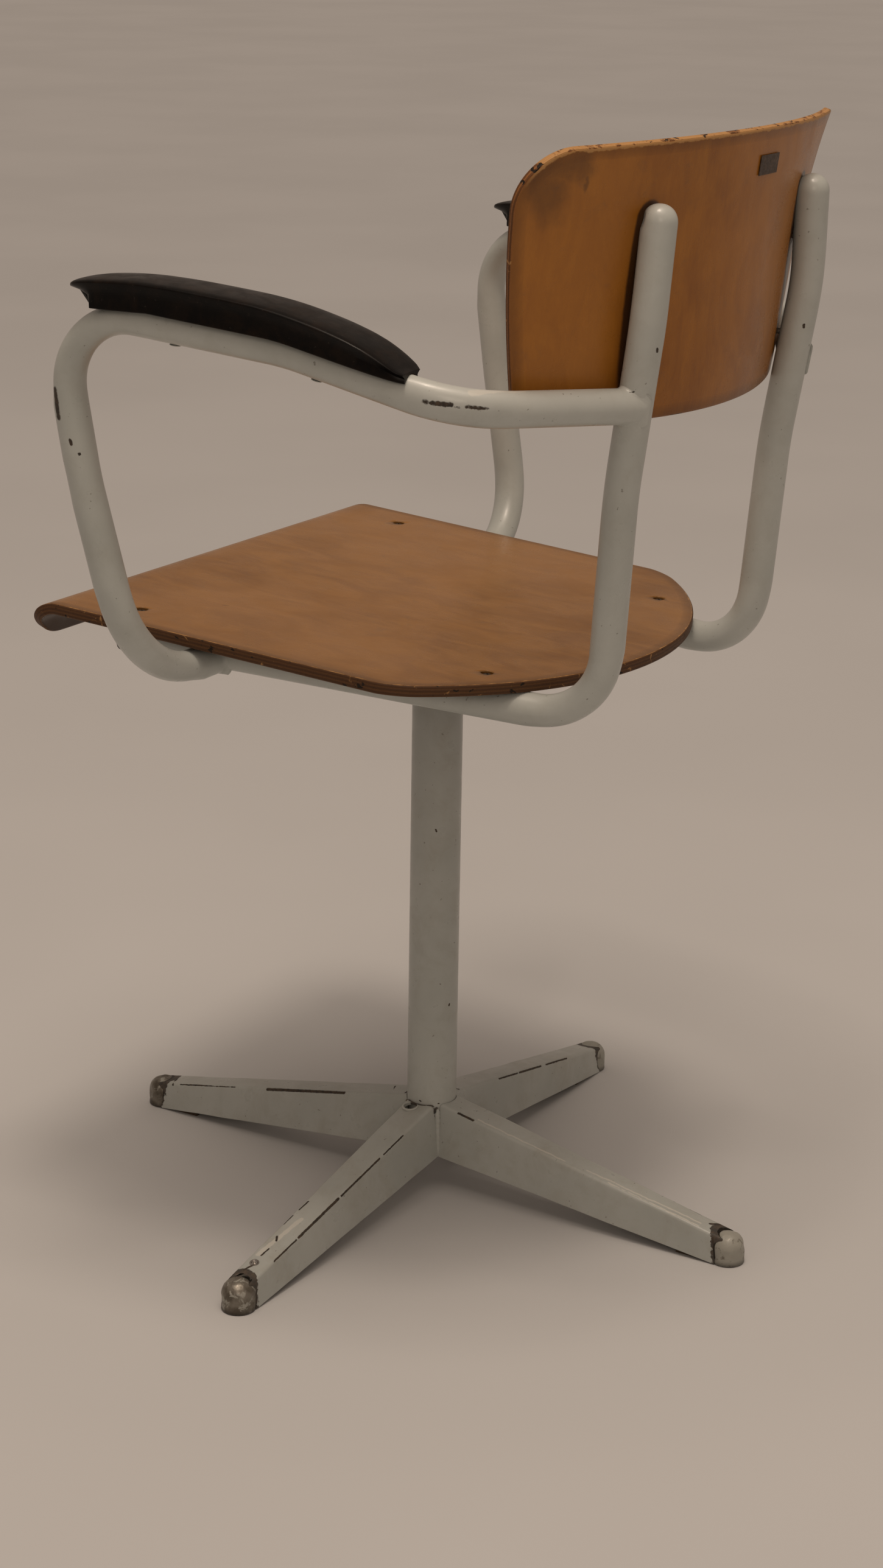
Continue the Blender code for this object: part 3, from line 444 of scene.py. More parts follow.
def ply_edge(name, light, dark, plies, top_light_and_wear):
    """Edge of a ply sheet: its layers in turn, dirty, with glints of bare wood."""
    g = Graph(name)
    depth = g.field("depth")
    shake = g.times(g.noise(70, 3, 0.6), 0.10)
    level = g.times(g.math("ADD", depth, shake), plies)
    wave = g.math("PINGPONG", level, 1.0)
    layer = g.ramp(wave, 0.42, 0.58)
    fibre = g.noise(900, 4, 0.7)
    colour = g.mix(layer, light, dark)
    colour = g.mix(g.ramp(fibre, 0.4, 0.8, 0.0, 0.45), colour, PLY_FIBRE)
    # The top edge paler: painted light from above, together with bare wood worn there.
    top = g.ramp(g.along(2), 0.84, 0.86, 0.0, top_light_and_wear)
    wear_and_top_light = g.math("ADD", g.noise(95, 4, 0.7, 0.8), top)
    glints = g.ramp(wear_and_top_light, 0.62, 0.70, 0.0, 0.8)
    colour = g.mix(glints, colour, PLY_GLINT)
    splits = g.ramp(g.noise(120, 2, 0.5, 0.5, g.stretched((1, 1, 1.5))), 0.66, 0.69)
    colour = g.mix(splits, colour, PLY_SPLIT)
    rough = g.ramp(fibre, 0.2, 0.8, 0.42, 0.70)
    ridges = g.bump(g.math("SUBTRACT", layer, g.times(splits, 2.0)), 0.00035, 0.7)
    fine = g.bump(fibre, 0.0003, 0.4, ridges)
    return g.finish(colour, rough, fine, Specular_IOR_Level=0.2)


def moulded_plastic(name, colour, worn, rough_low, rough_high, shine=0.4):
    """Plain moulding with a worn haze, dust and fine scuffs."""
    g = Graph(name)
    haze = g.ramp(g.noise(70, 6, 0.65, 0.5), 0.38, 0.75)
    shade = g.mix(g.times(haze, 0.75), colour, worn)
    dust = g.ramp(g.noise(420, 3, 0.6), 0.66, 0.72)
    shade = g.mix(g.times(dust, 0.12), shade, DUST)
    rough = g.ramp(g.noise(48, 5, 0.65, 0.4), 0.3, 0.7, rough_low, rough_high)
    wave = g.bump(g.noise(55, 3, 0.5), 0.0007, 0.12)
    scuffs = g.noise(700, 4, 0.6, 0.0, g.stretched((1.0, 0.12, 1.0), (0, 0, 0.15)))
    fine = g.bump(scuffs, 0.00012, 0.35, wave)
    return g.finish(shade, rough, fine, Specular_IOR_Level=shine)


def plain_metal(name, colour, tarnish, rough, metallic=1.0):
    """Turned or sheet metal, unevenly tarnished."""
    g = Graph(name)
    old = g.ramp(g.noise(320, 5, 0.65, 0.4), 0.40, 0.70)
    shade = g.mix(g.times(old, 0.8), colour, tarnish)
    shine = g.ramp(g.noise(500, 4, 0.6), 0.3, 0.7, rough - 0.08, rough + 0.12)
    lathe = g.bump(g.noise(1400, 3, 0.6), 0.00008, 0.5)
    return g.finish(shade, shine, lathe, metallic)


# Marks on the enamel: start, end, half width. The two torn strips lie on the
# outside of the left arm's rear bend, the run of nicks on its front post.
FRAME_CHIPS = (
    ((0.1280, 0.2312, 0.8165), (0.1292, 0.2310, 0.8100), 0.0009),
    ((0.1268, 0.2318, 0.8185), (0.1275, 0.2316, 0.8165), 0.0006),
    ((0.2640, 0.1515, 0.7003), (0.2575, 0.1640, 0.6996), 0.0021),
    ((0.2660, 0.1478, 0.7008), (0.2652, 0.1494, 0.7006), 0.0026),
    ((0.2560, 0.1663, 0.6982), (0.2545, 0.1685, 0.6978), 0.0014),
    ((0.2515, 0.1728, 0.6983), (0.2418, 0.1832, 0.6968), 0.0019),
    ((0.2400, 0.1850, 0.6955), (0.2385, 0.1865, 0.6950), 0.0011),
    ((0.3010, -0.1330, 0.6840), (0.3006, -0.1310, 0.6650), 0.0032),
    ((0.3003, -0.1290, 0.6560), (0.2994, -0.1230, 0.6270), 0.0012),
    ((0.2984, -0.1210, 0.6500), (0.2982, -0.1200, 0.6470), 0.0012),
    ((0.2956, -0.1152, 0.6405), (0.2954, -0.1150, 0.6398), 0.0012),
    ((0.1299, 0.2480, 0.7280), (0.1297, 0.2480, 0.7264), 0.0011),
    ((-0.1166, 0.2425, 0.7128), (-0.1167, 0.2425, 0.7112), 0.0011),
    ((0.1392, 0.2330, 0.6990), (0.1372, 0.2352, 0.6986), 0.0007),
    ((-0.2760, 0.0300, 0.7170), (-0.2745, 0.0420, 0.7150), 0.0016),
    ((0.2300, -0.0880, 0.4830), (0.2240, -0.0880, 0.4832), 0.0012),
)
# Painted highlights: pale streaks on top of each arm just before its rear bend, where the overhead
# light catches the tube.
FRAME_HIGHLIGHTS = (
    ((0.2450, 0.1720, 0.7070), (0.2100, 0.1900, 0.7055), 0.0030),
    ((-0.2450, 0.1720, 0.7070), (-0.2100, 0.1900, 0.7055), 0.0030),
)
BASE_CHIPS = (
    ((0.0620, 0.0118, 0.0640), (0.0900, 0.0117, 0.0583), 0.0007),
    ((0.0960, 0.0116, 0.0571), (0.1500, 0.0112, 0.0462), 0.0009),
    ((0.1540, 0.0111, 0.0454), (0.2080, 0.0106, 0.0345), 0.0012),
    ((0.2110, 0.0105, 0.0338), (0.2400, 0.0102, 0.0281), 0.0008),
    ((0.1680, -0.0080, 0.0439), (0.1800, -0.0085, 0.0415), 0.0008),
    ((0.1880, -0.0090, 0.0397), (0.2000, -0.0092, 0.0374), 0.0008),
    ((0.2150, -0.0050, 0.0343), (0.2200, -0.0020, 0.0334), 0.0009),
    ((0.2310, -0.0015, 0.0313), (0.2400, -0.0020, 0.0296), 0.0008),
    ((0.2525, -0.0010, 0.0270), (0.2600, -0.0040, 0.0256), 0.0010),
    ((0.0110, -0.1560, 0.0446), (0.0116, -0.0780, 0.0608), 0.0013),
    ((0.0102, -0.2480, 0.0264), (0.0108, -0.1900, 0.0383), 0.0007),
    ((0.0020, -0.2580, 0.0260), (0.0100, -0.2560, 0.0240), 0.0010),
    ((-0.0900, 0.0116, 0.0582), (-0.1220, 0.0114, 0.0518), 0.0008),
    ((-0.1250, 0.0113, 0.0512), (-0.1630, 0.0111, 0.0436), 0.0010),
    ((-0.1720, 0.0110, 0.0417), (-0.2100, 0.0106, 0.0341), 0.0010),
    ((0.0118, 0.0330, 0.0700), (0.0118, 0.0470, 0.0672), 0.0010),
    ((0.0150, 0.2050, 0.0150), (0.0140, 0.2260, 0.0135), 0.0010),
    ((-0.0020, 0.2560, 0.0268), (-0.0080, 0.2620, 0.0248), 0.0016),
    ((-0.0095, 0.2350, 0.0300), (-0.0093, 0.2440, 0.0285), 0.0012),
    ((0.0106, 0.2640, 0.0210), (0.0125, 0.2670, 0.0120), 0.0012),
    ((0.0102, -0.0320, 0.0700), (-0.0060, -0.0390, 0.0700), 0.0007),
    ((-0.0215, 0.0080, 0.0735), (-0.0250, 0.0105, 0.0722), 0.0010),
    ((-0.0100, -0.0205, 0.0738), (0.0080, -0.0203, 0.0738), 0.0010),
)
# Pale streaks on the rear and left legs: rub wear, and painted highlight where overhead light
# catches the rounded top edges.
BASE_RUBS_AND_HIGHLIGHTS = (
    ((0.0090, 0.0500, 0.0676), (0.0085, 0.1300, 0.0516), 0.0010),
    ((0.0060, 0.1500, 0.0476), (0.0030, 0.2500, 0.0274), 0.0010),
    ((0.0085, 0.1700, 0.0436), (0.0080, 0.2500, 0.0274), 0.0008),
    ((0.1900, 0.0000, 0.0397), (0.2400, -0.0050, 0.0294), 0.0022),
)
COLUMN_CHIPS = (
    ((0.0060, 0.0191, 0.1600), (0.0062, 0.0190, 0.1590), 0.0008),
    ((0.0170, 0.0105, 0.3100), (0.0168, 0.0108, 0.3085), 0.0007),
    ((0.0200, 0.0010, 0.0760), (0.0130, 0.0152, 0.0745), 0.0006),
)
BACK_STAINS = (
    ((0.2170, 0.2050, 0.8430), (0.2050, 0.2060, 0.8280), 0.013),
    ((0.2120, 0.2080, 0.8480), (0.1850, 0.2190, 0.8530), 0.010),
    ((0.1830, 0.2200, 0.8440), (0.1820, 0.2200, 0.8380), 0.003),
)
# Painted shade and dirt on the backrest beside each upright: start, end, half width.
BACK_UPRIGHT_SHADE_AND_DIRT = tuple(
    ((side * 0.1190, 0.2320, 0.8130), (side * 0.1235, 0.2280, 0.7000), 0.0132)
    for side in (1, -1)
)
SEAT_STAINS = (
    ((0.1285, -0.1142, 0.4968), (0.1275, -0.1120, 0.4968), 0.0012),
)

FRAME_PAINT = painted_steel("frame_paint", FRAME_CHIPS, FRAME_HIGHLIGHTS, 0.16)
BASE_PAINT = painted_steel("base_paint", BASE_CHIPS, BASE_RUBS_AND_HIGHLIGHTS, 0.34, 0.87, True)
COLUMN_PAINT = painted_steel("column_paint", COLUMN_CHIPS, (), 0.30, 0.95)
CAP_BARE = worn_steel("cap_worn", -0.35)
CAP_PAINTED = worn_steel("cap_painted", 0.60)
SEAT_FACE = ply_face("seat_face", (0.258, 0.121, 0.031), (0.190, 0.084, 0.020),
                     (0.145, 0.060, 0.012), 1, SEAT_STAINS, (), 0.0, -0.0010, 0.30,
                     underside_shade_share=0.95)
SEAT_EDGE = ply_edge("seat_edge", (0.100, 0.045, 0.017), (0.068, 0.030, 0.012), 6, 0.0)
BACK_FACE = ply_face("back_face", (0.355, 0.134, 0.009), (0.255, 0.087, 0.005),
                     (0.175, 0.055, 0.004), 2, BACK_STAINS, BACK_UPRIGHT_SHADE_AND_DIRT, 0.835, 0.0, 0.36)
BACK_EDGE = ply_edge("back_edge", (0.260, 0.105, 0.032), (0.130, 0.052, 0.017), 4, 0.22)
PAD_BLACK = moulded_plastic("pad_black", (0.0032, 0.0026, 0.0024),
                            (0.0130, 0.0075, 0.0045), 0.26, 0.40, 0.10)
PLUG_BLACK = moulded_plastic("plug_black", (0.014, 0.013, 0.012), (0.03, 0.028, 0.025),
                             0.4, 0.6)
GLIDE_BROWN = moulded_plastic("glide_brown", (0.050, 0.030, 0.016), (0.10, 0.07, 0.04),
                              0.5, 0.8)
NYLON = moulded_plastic("nylon", (0.55, 0.52, 0.44), (0.40, 0.36, 0.28), 0.4, 0.55)
BRASS = plain_metal("brass", (0.55, 0.38, 0.16), (0.22, 0.14, 0.06), 0.34)
STEEL = plain_metal("steel", (0.42, 0.40, 0.38), (0.17, 0.14, 0.11), 0.34)
SCREW_STEEL = plain_metal("screw_steel", (0.10, 0.085, 0.07), (0.03, 0.02, 0.015), 0.5)
SPRING_STEEL = plain_metal("spring_steel", (0.12, 0.11, 0.10), (0.05, 0.04, 0.035), 0.42)
LABEL_DARK = plain_metal("label_dark", (0.050, 0.034, 0.025), (0.100, 0.058, 0.034), 0.5,
                         0.25)


# ================================================================ meshes
def closed_mesh(name, points, faces):
    """A mesh whose faces all point out."""
    mesh = bpy.data.meshes.new(name)
    mesh.from_pydata([tuple(p) for p in points], [], faces)
    bm = bmesh.new()
    bm.from_mesh(mesh)
    bmesh.ops.recalc_face_normals(bm, faces=bm.faces)
    bm.to_mesh(mesh)
    bm.free()
    return mesh


def add_piece(name, points, faces, looks, body, slot, nodes=(), face_looks=None, fields=None,
              sharp=SHARP):
    """A finished mesh piece that rides on a body and stands for CAD nodes."""
    mesh = closed_mesh(name, points, faces)
    for look in looks:
        mesh.materials.append(look)
    if face_looks is not None:
        mesh.polygons.foreach_set("material_index", face_looks)
    for label, values in (fields or {}).items():
        mesh.attributes.new(label, "FLOAT", "POINT").data.foreach_set("value", values)
    mesh.shade_smooth()
    mesh.set_sharp_from_angle(angle=math.radians(sharp))
    obj = bpy.data.objects.new(name, mesh)
    bpy.context.scene.collection.objects.link(obj)
    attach(obj, body)
    if nodes:
        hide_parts(*nodes)
    return obj


def add_skin(name, rings, look, body, slot, nodes=(), sharp=SHARP):
    """A piece that is one closed skin over rings."""
    return add_piece(name, *skin(rings), [look], body, slot, nodes, sharp=sharp)


def soften(obj, width, segments, degrees):
    """Round the edges that are sharper than an angle."""
    bevel = obj.modifiers.new("soft_edges", "BEVEL")
    bevel.width = width
    bevel.segments = segments
    bevel.limit_method = "ANGLE"
    bevel.angle_limit = math.radians(degrees)


def cut_out(obj, points, faces, overlaps=False):
    """Cut a closed tool out of a piece; overlaps says that the tool crosses itself."""
    tool = bpy.data.objects.new(obj.name + "_tool", closed_mesh(obj.name + "_tool", points, faces))
    bpy.context.scene.collection.objects.link(tool)
    cut = obj.modifiers.new("cut", "BOOLEAN")
    cut.operation = "DIFFERENCE"
    cut.solver = "EXACT"
    cut.use_self = overlaps
    cut.object = tool
    bpy.context.view_layer.update()
    graph = bpy.context.evaluated_depsgraph_get()
    finished = bpy.data.meshes.new_from_object(obj.evaluated_get(graph))
    obj.modifiers.remove(cut)
    obj.data = finished
    bpy.data.objects.remove(tool, do_unlink=True)


def drill(obj, holes):
    """Cut round holes: start, direction, radius, length."""
    points, faces = [], []
    for start, direction, radius, length in holes:
        p, f = skin(turned([(radius, 0.0), (radius, length)], start, direction, 32))
        shift = len(points)
        points += p
        faces += [tuple(i + shift for i in face) for face in f]
    cut_out(obj, points, faces, True)


def skin(rings):
    """Points and faces of a skin over equal rings; its ends are closed by one face each."""
    count = len(rings[0])
    points = [p for ring in rings for p in ring]
    faces = []
    for k in range(len(rings) - 1):
        for i in range(count):
            j = (i + 1) % count
            low, high = k * count, (k + 1) * count
            faces.append((low + i, low + j, high + j, high + i))
    faces.append(tuple(range(count - 1, -1, -1)))
    faces.append(tuple(range(len(points) - count, len(points))))
    return points, faces


def circle(sides):
    """Cosine and sine at even steps round a circle."""
    angles = (2 * math.pi * i / sides for i in range(sides))
    return [(math.cos(angle), math.sin(angle)) for angle in angles]


def turned(profile, centre=(0, 0, 0), axis=(0, 0, 1), sides=64):
    """Rings of a turned piece, from a (radius, height) outline."""
    turn = Vector((0, 0, 1)).rotation_difference(Vector(axis)).to_matrix()
    return [[Vector(centre) + turn @ Vector((radius * c, radius * s, height))
             for c, s in circle(sides)] for radius, height in profile]


def lerp(pair, t):
    """Between the two numbers of a pair."""
    return pair[0] + (pair[1] - pair[0]) * t


def flip(p, side):
    """A point of the left half, or its mirror on the right (side -1)."""
    return Vector((p[0] * side, p[1], p[2]))


def smooth_corners(corners, step=0.0015):
    """Round each inner corner (point, radius) of a polyline with an arc."""
    path = [corners[0][0].copy()]
    for (a, _), (b, radius), (c, _) in zip(corners, corners[1:], corners[2:]):
        to_a = (a - b).normalized()
        to_c = (c - b).normalized()
        half = to_a.angle(to_c) / 2
        run = radius / math.tan(half)
        centre = b + (to_a + to_c).normalized() * (radius / math.sin(half))
        first = b + to_a * run - centre
        last = b + to_c * run - centre
        sweep = first.angle(last)
        count = max(2, math.ceil(sweep * radius / step))
        for k in range(count + 1):
            t = k / count
            arm = first * math.sin((1 - t) * sweep) + last * math.sin(t * sweep)
            path.append(centre + arm / math.sin(sweep))
    path.append(corners[-1][0].copy())
    return path


def run_along(line):
    """Length of a polyline up to each of its points."""
    return np.concatenate([[0], np.cumsum(np.linalg.norm(np.diff(line, axis=0), axis=1))])


def resample(path, step):
    """The same path with evenly spaced points."""
    line = np.array([tuple(p) for p in path])
    run = run_along(line)
    count = max(2, int(round(run[-1] / step)))
    even = np.linspace(0, run[-1], count + 1)
    return np.stack([np.interp(even, run, line[:, k]) for k in range(3)], axis=1)


def carried_frames(line):
    """Ahead, side and up directions at every point of a path, without twist."""
    ahead = np.gradient(line, axis=0)
    ahead /= np.linalg.norm(ahead, axis=1)[:, None]
    side = np.zeros_like(line)
    current = np.cross(ahead[0], (0.0, 0.0, 1.0))
    if np.linalg.norm(current) < 0.1:
        current = np.cross(ahead[0], (0.0, 1.0, 0.0))
    for i, direction in enumerate(ahead):
        current = current - direction * (current @ direction)
        current /= np.linalg.norm(current)
        side[i] = current
    return ahead, side, np.cross(ahead, side)


def tube_rings(line, flatten):
    """Rings round a bent tube: its outer wall is drawn in where it bends."""
    ahead, side, up = carried_frames(line)
    step = np.linalg.norm(line[1] - line[0])
    bend = np.gradient(ahead, axis=0) / step
    window = np.hanning(9)
    window /= window.sum()
    padded = np.pad(bend, ((4, 4), (0, 0)), mode="edge")
    bend = np.stack([np.convolve(padded[:, k], window, mode="valid") for k in range(3)], axis=1)
    angle = TUBE_ANGLES[None, :, None]
    out = side[:, None] * np.cos(angle) + up[:, None] * np.sin(angle)
    amount = np.linalg.norm(bend, axis=1)
    away = -bend / np.maximum(amount, 1e-6)[:, None]
    facing = np.einsum("nsk,nk->ns", out, away)
    pull = flatten * amount[:, None] * np.clip(facing, 0, 1) ** 1.6
    spread = WIDEN_IN_BEND * amount[:, None] * (1 - facing ** 2)
    radius = TUBE_R * (1 - pull + spread)
    return line[:, None] + out * radius[:, :, None]


def distance_to_line(points, line):
    """Distance from each point to a polyline."""
    start, leg = line[:-1], np.diff(line, axis=0)
    share = np.einsum("...k,mk->...m", points, leg) - np.einsum("mk,mk->m", start, leg)
    share = np.clip(share / np.einsum("mk,mk->m", leg, leg), 0, 1)
    nearest = start + share[..., None] * leg
    return np.linalg.norm(points[..., None, :] - nearest, axis=-1).min(-1)


def welded_end(line, other, bead, reach):
    """Rings that fit a tube's first end to another tube, with a filleted weld."""
    ahead, side, up = carried_frames(line[:3])
    along = ahead[0]
    near = other[np.argsort(np.linalg.norm(other - line[0], axis=1))[:40]]
    near = near[np.argsort(near @ (near[-1] - near[0]))]
    axis = near[-1] - near[0]
    axis /= np.linalg.norm(axis)
    across = np.cross(along, axis)
    across /= np.linalg.norm(across)
    angle = TUBE_ANGLES[:, None]
    out = side[0] * np.cos(angle) + up[0] * np.sin(angle)
    lateral = np.abs(out @ across)
    runs = np.arange(0, reach, WELD_SEARCH)
    thin = TUBE_R * WELD_CORE
    rings = []
    steps = 7
    for k in range(steps + 1):
        turn = math.pi / 2 * k / steps
        radius = np.minimum(TUBE_R + bead * (1 - math.sin(turn)),
                            thin / np.maximum(lateral, 0.5))
        radius = np.maximum(radius, thin)
        rays = line[0] + runs[None, :, None] * along + (out * radius[:, None])[:, None, :]
        clear = distance_to_line(rays, near) >= TUBE_R - 0.0002
        hit = runs[np.argmax(clear, axis=1)]
        hit = np.convolve(np.concatenate([hit[-2:], hit, hit[:2]]), np.ones(5) / 5, mode="valid")
        run = hit + bead * (1 - math.cos(turn)) - WELD_SINK * (1 - k / steps)
        rings.append(line[0] + run[:, None] * along + out * radius[:, None])
    last = (rings[-1] - line[0]) @ along
    for k in range(1, 5):
        run = last + (reach - last) * k / 5
        rings.append(line[0] + run[:, None] * along + out * TUBE_R)
    return np.array(rings)


# ================================================================ side frames
def rail_x(y):
    _, x_rear, y_rear = SEAT_SCREWS[0]
    return x_rear + (y_rear - y) * RAIL_SPLAY


def rail_z(y):
    return SEAT_Z - SEAT_T - TUBE_R - UNDER_HEAD - SEAT_FALL * y


def side_line(side):
    corner = Vector((rail_x(REAR_CORNER_Y), REAR_CORNER_Y, rail_z(REAR_CORNER_Y)))
    front = Vector((rail_x(RAIL_FRONT_Y), RAIL_FRONT_Y, rail_z(RAIL_FRONT_Y)))
    path = smooth_corners([(UPRIGHT_TOP, 0), (UPRIGHT_HIGH, 0.20), (UPRIGHT_LOW, 0.35),
                           (corner, REAR_BEND), (front, 0)])
    line = resample(path, TUBE_STEP)
    line[:, 0] *= side
    return line


def arm_line(side):
    """Path of an arm; the right one's rear bend lies a little further in."""
    route = list(ARM_ROUTE)
    if side < 0:
        corner, radius = route[1]
        route[1] = (corner + RIGHT_ARM_NARROWER, radius)
    line = resample(smooth_corners(route), TUBE_STEP)
    line[:, 0] *= side
    return line


def build_side_frame(label, side):
    line = side_line(side)
    rings = list(tube_rings(line, FLATTEN_FRAME))
    ahead, _, _ = carried_frames(line)
    dome = []
    steps = 12
    for k in range(steps, 0, -1):
        turn = math.radians(88) * k / steps
        ring = line[0] + (rings[0] - line[0]) * math.cos(turn) ** 0.92
        dome.append(ring - ahead[0] * DOME_H * math.sin(turn))
    pinch = flip(PINCH_AT, side)
    pressed = []
    for ring in dome + rings[:6]:
        out = []
        for p in ring:
            gap = (Vector(p) - pinch).length
            press = PINCH_DEPTH * math.exp(-(gap / PINCH_SPREAD) ** 2)
            out.append(np.array(p) + (line[0] - np.array(p)) * (press / TUBE_R))
        pressed.append(np.array(out))
    add_skin("frame_" + label, [list(r) for r in pressed + rings[6:]], FRAME_PAINT, "seat",
             "frame_paint", ["side_frame_" + label])


def build_arm(label, side):
    line = arm_line(side)
    frame_line = side_line(side)
    ends = [welded_end(path, frame_line, bead, reach)
            for path, bead, reach in zip((line, line[::-1]), WELD_BEAD, WELD_REACH)]
    step = np.linalg.norm(line[1] - line[0])
    start, spare = (int(math.ceil(reach / step)) for reach in WELD_REACH)
    middle = tube_rings(line, FLATTEN_ARM)[start:len(line) - spare]
    rear = match_turn(ends[0], middle[0])
    foot = match_turn(ends[1], middle[-1])
    rings = list(rear) + list(middle) + list(foot[::-1])
    add_skin("arm_" + label, [list(r) for r in rings], FRAME_PAINT, "seat", "frame_paint",
             ["arm_tube_" + label])


def match_turn(rings, target):
    """Renumber the points of some rings so that they meet a target ring untwisted."""
    best = None
    for mirror in (1, -1):
        for shift in range(TUBE_SIDES):
            order = np.roll(np.arange(TUBE_SIDES)[::mirror], shift)
            gap = np.linalg.norm(rings[-1][order] - target, axis=1).sum()
            if best is None or gap < best[0]:
                best = (gap, order)
    return rings[:, best[1]]


# ================================================================ arm pads
def arm_track():
    """Run, point and level heading along the arm, up to its foremost point."""
    path = smooth_corners(ARM_ROUTE, 0.004)
    track = []
    run = 0.0
    for i, point in enumerate(path[:-1]):
        before = path[max(i - 1, 0)]
        after = path[i + 1]
        if after.y > point.y:
            break
        if i:
            run += (point - before).xy.length
        heading = (after - before).normalized()
        level = Vector((heading.x, heading.y, 0)).normalized()
        track.append((run, point, level))
    return track


def arm_frame(track, run):
    """Centre, level heading, outward side and slope of the arm tube over a run."""
    for (r0, p0, h0), (r1, p1, h1) in zip(track, track[1:]):
        if r0 <= run <= r1:
            share = (run - r0) / (r1 - r0)
            heading = h0.lerp(h1, share).normalized()
            slope = (p1.z - p0.z) / (r1 - r0)
            return p0.lerp(p1, share), heading, Vector((-heading.y, heading.x, 0)), slope
    last_run, point, _ = track[-1]
    heading = track[-12][2]
    point = point + heading * (run - last_run)
    return point, heading, Vector((-heading.y, heading.x, 0)), 0.0


def pad_section(track, run, crown, half, side):
    """Section of a pad: rounded shoulders, drawn-in walls, a saddle for the tube."""
    foot = run - max(0.0, run - PAD_UNDERCUT) * PAD_LEAN
    centre, heading, outward, slope = arm_frame(track, foot)
    height = centre.z
    stretch = math.sqrt(1 + slope * slope)
    over_bend = foot > PAD_OVER_BEND
    low = PAD_FRONT_LOW if over_bend else min(height + PAD_HUG, PAD_FRONT_LOW)
    clear = TUBE_R + (PAD_CLEAR_BEND if over_bend else PAD_CLEAR)
    share = min((low - height) / (clear * stretch), 1.0)
    widest = max(clear * math.sqrt(1 - share * share), clear * 0.3)
    depth = crown - low
    base = max(half - 0.0035, PAD_FOOT_HALF)
    outer = [(base - 0.0006, low), (base, low + 0.0005), (base + 0.0001, low + depth * 0.12),
             (max(half - 0.0044, PAD_FOOT_HALF - 0.0008), low + depth * 0.46),
             (half - 0.0026, low + depth * 0.66), (half - 0.0007, crown - depth * 0.20),
             (half, crown - depth * 0.135), (half - 0.0004, crown - depth * 0.095),
             (half * 0.93, crown - depth * 0.062), (half * 0.75, crown - depth * 0.030),
             (half * 0.45, crown - depth * 0.008), (half * 0.20, crown - depth * 0.001)]
    section = outer + [(0, crown)] + [(-x, z) for x, z in reversed(outer)]
    steps = 14
    for k in range(steps + 1):
        out = -widest * math.cos(math.pi * k / steps)
        over = height + stretch * math.sqrt(max(clear * clear - out * out, 0))
        section.append((out, max(low, over)))
    points = []
    for out, z in section:
        rise = min(max((z - low) / depth, 0.0), 1.0)
        forward = (run - foot) * min(rise / 0.8, 1.0) ** 2.5
        point = centre + heading * forward + outward * out
        points.append(flip((point.x, point.y, z), side))
    return points


def build_pad(label, side):
    track = arm_track()
    knots = np.array(PAD_STATIONS)
    share = np.linspace(0, len(knots) - 1, (len(knots) - 1) * 4 + 1)
    rings = []
    for t in share:
        i = min(int(t), len(knots) - 2)
        before, a, b, after = (knots[max(i - 1, 0)], knots[i], knots[i + 1],
                               knots[min(i + 2, len(knots) - 1)])
        u = t - i
        row = a + (b - a) * u + u * (1 - u) * ((2 * a - before - b) * (1 - u)
                                               + (2 * b - a - after) * u) / 2
        rings.append(pad_section(track, row[0], row[1], row[2], side))
    pad = add_skin("pad_" + label, rings, PAD_BLACK, "seat", "pad_plastic",
                   ["arm_pad_" + label], sharp=38)
    soften(pad, 0.0006, 3, 48)


# ================================================================ ply shells
def ply_sheet(name, node, outline, surface, thick, looks, round_r):
    """Closed sheet over a flat outline; surface gives the place of a plan point at a depth.

    Its edge is rounded, and two fields are kept for the finish: the distance from
    the edge, and the depth through the plies.
    """
    outline = even_loop(outline)
    ahead = np.roll(outline, -1, axis=0) - np.roll(outline, 1, axis=0)
    inward = np.stack([-ahead[:, 1], ahead[:, 0]], axis=1)
    inward /= np.linalg.norm(inward, axis=1)[:, None]
    bands = [(0.0085, 0.0), (0.0050, 0.0), (0.0028, 0.0)]
    bands += [(round_r * (1 - math.sin(a)), round_r * (1 - math.cos(a)))
              for a in (math.pi / 8 * k for k in range(5))]
    middle = [(0.0, round_r + (thick - 2 * round_r) * k / 4) for k in (1, 2, 3)]
    profile = bands + middle + [(gap, thick - depth) for gap, depth in reversed(bands)]
    count = len(outline)
    points, edge_gap, depth_share, faces, face_looks = [], [], [], [], []
    for gap, depth in profile:
        for u, v in outline + inward * gap:
            points.append(surface(u, v, depth))
            edge_gap.append(gap)
            depth_share.append(depth / thick)
    for k in range(len(profile) - 1):
        on_edge = max(profile[k][0], profile[k + 1][0]) <= round_r * 0.75
        for i in range(count):
            j = (i + 1) % count
            faces.append((k * count + i, k * count + j, (k + 1) * count + j, (k + 1) * count + i))
            face_looks.append(1 if on_edge else 0)
    rim = outline + inward * bands[0][0]
    flat = [Vector(p) for p in rim] + [Vector(p) for p in inner_grid(outline)]
    found = delaunay_2d_cdt(flat, [], [tuple(range(count))], 1, 1e-6)
    plan, triangles, origin = found[0], found[2], found[3]
    for depth, base in ((0.0, 0), (thick, len(profile) - 1)):
        number = {}
        for k, p in enumerate(plan):
            source = [o for o in origin[k] if o < count]
            if source:
                number[k] = base * count + source[0]
            else:
                number[k] = len(points)
                points.append(surface(p.x, p.y, depth))
                edge_gap.append(0.05)
                depth_share.append(depth / thick)
        for tri in triangles:
            faces.append(tuple(number[k] for k in tri))
            face_looks.append(0)
    return add_piece(name, points, faces, looks, "seat", name, [node], face_looks,
                     {"edge_gap": edge_gap, "depth": depth_share}, sharp=60)


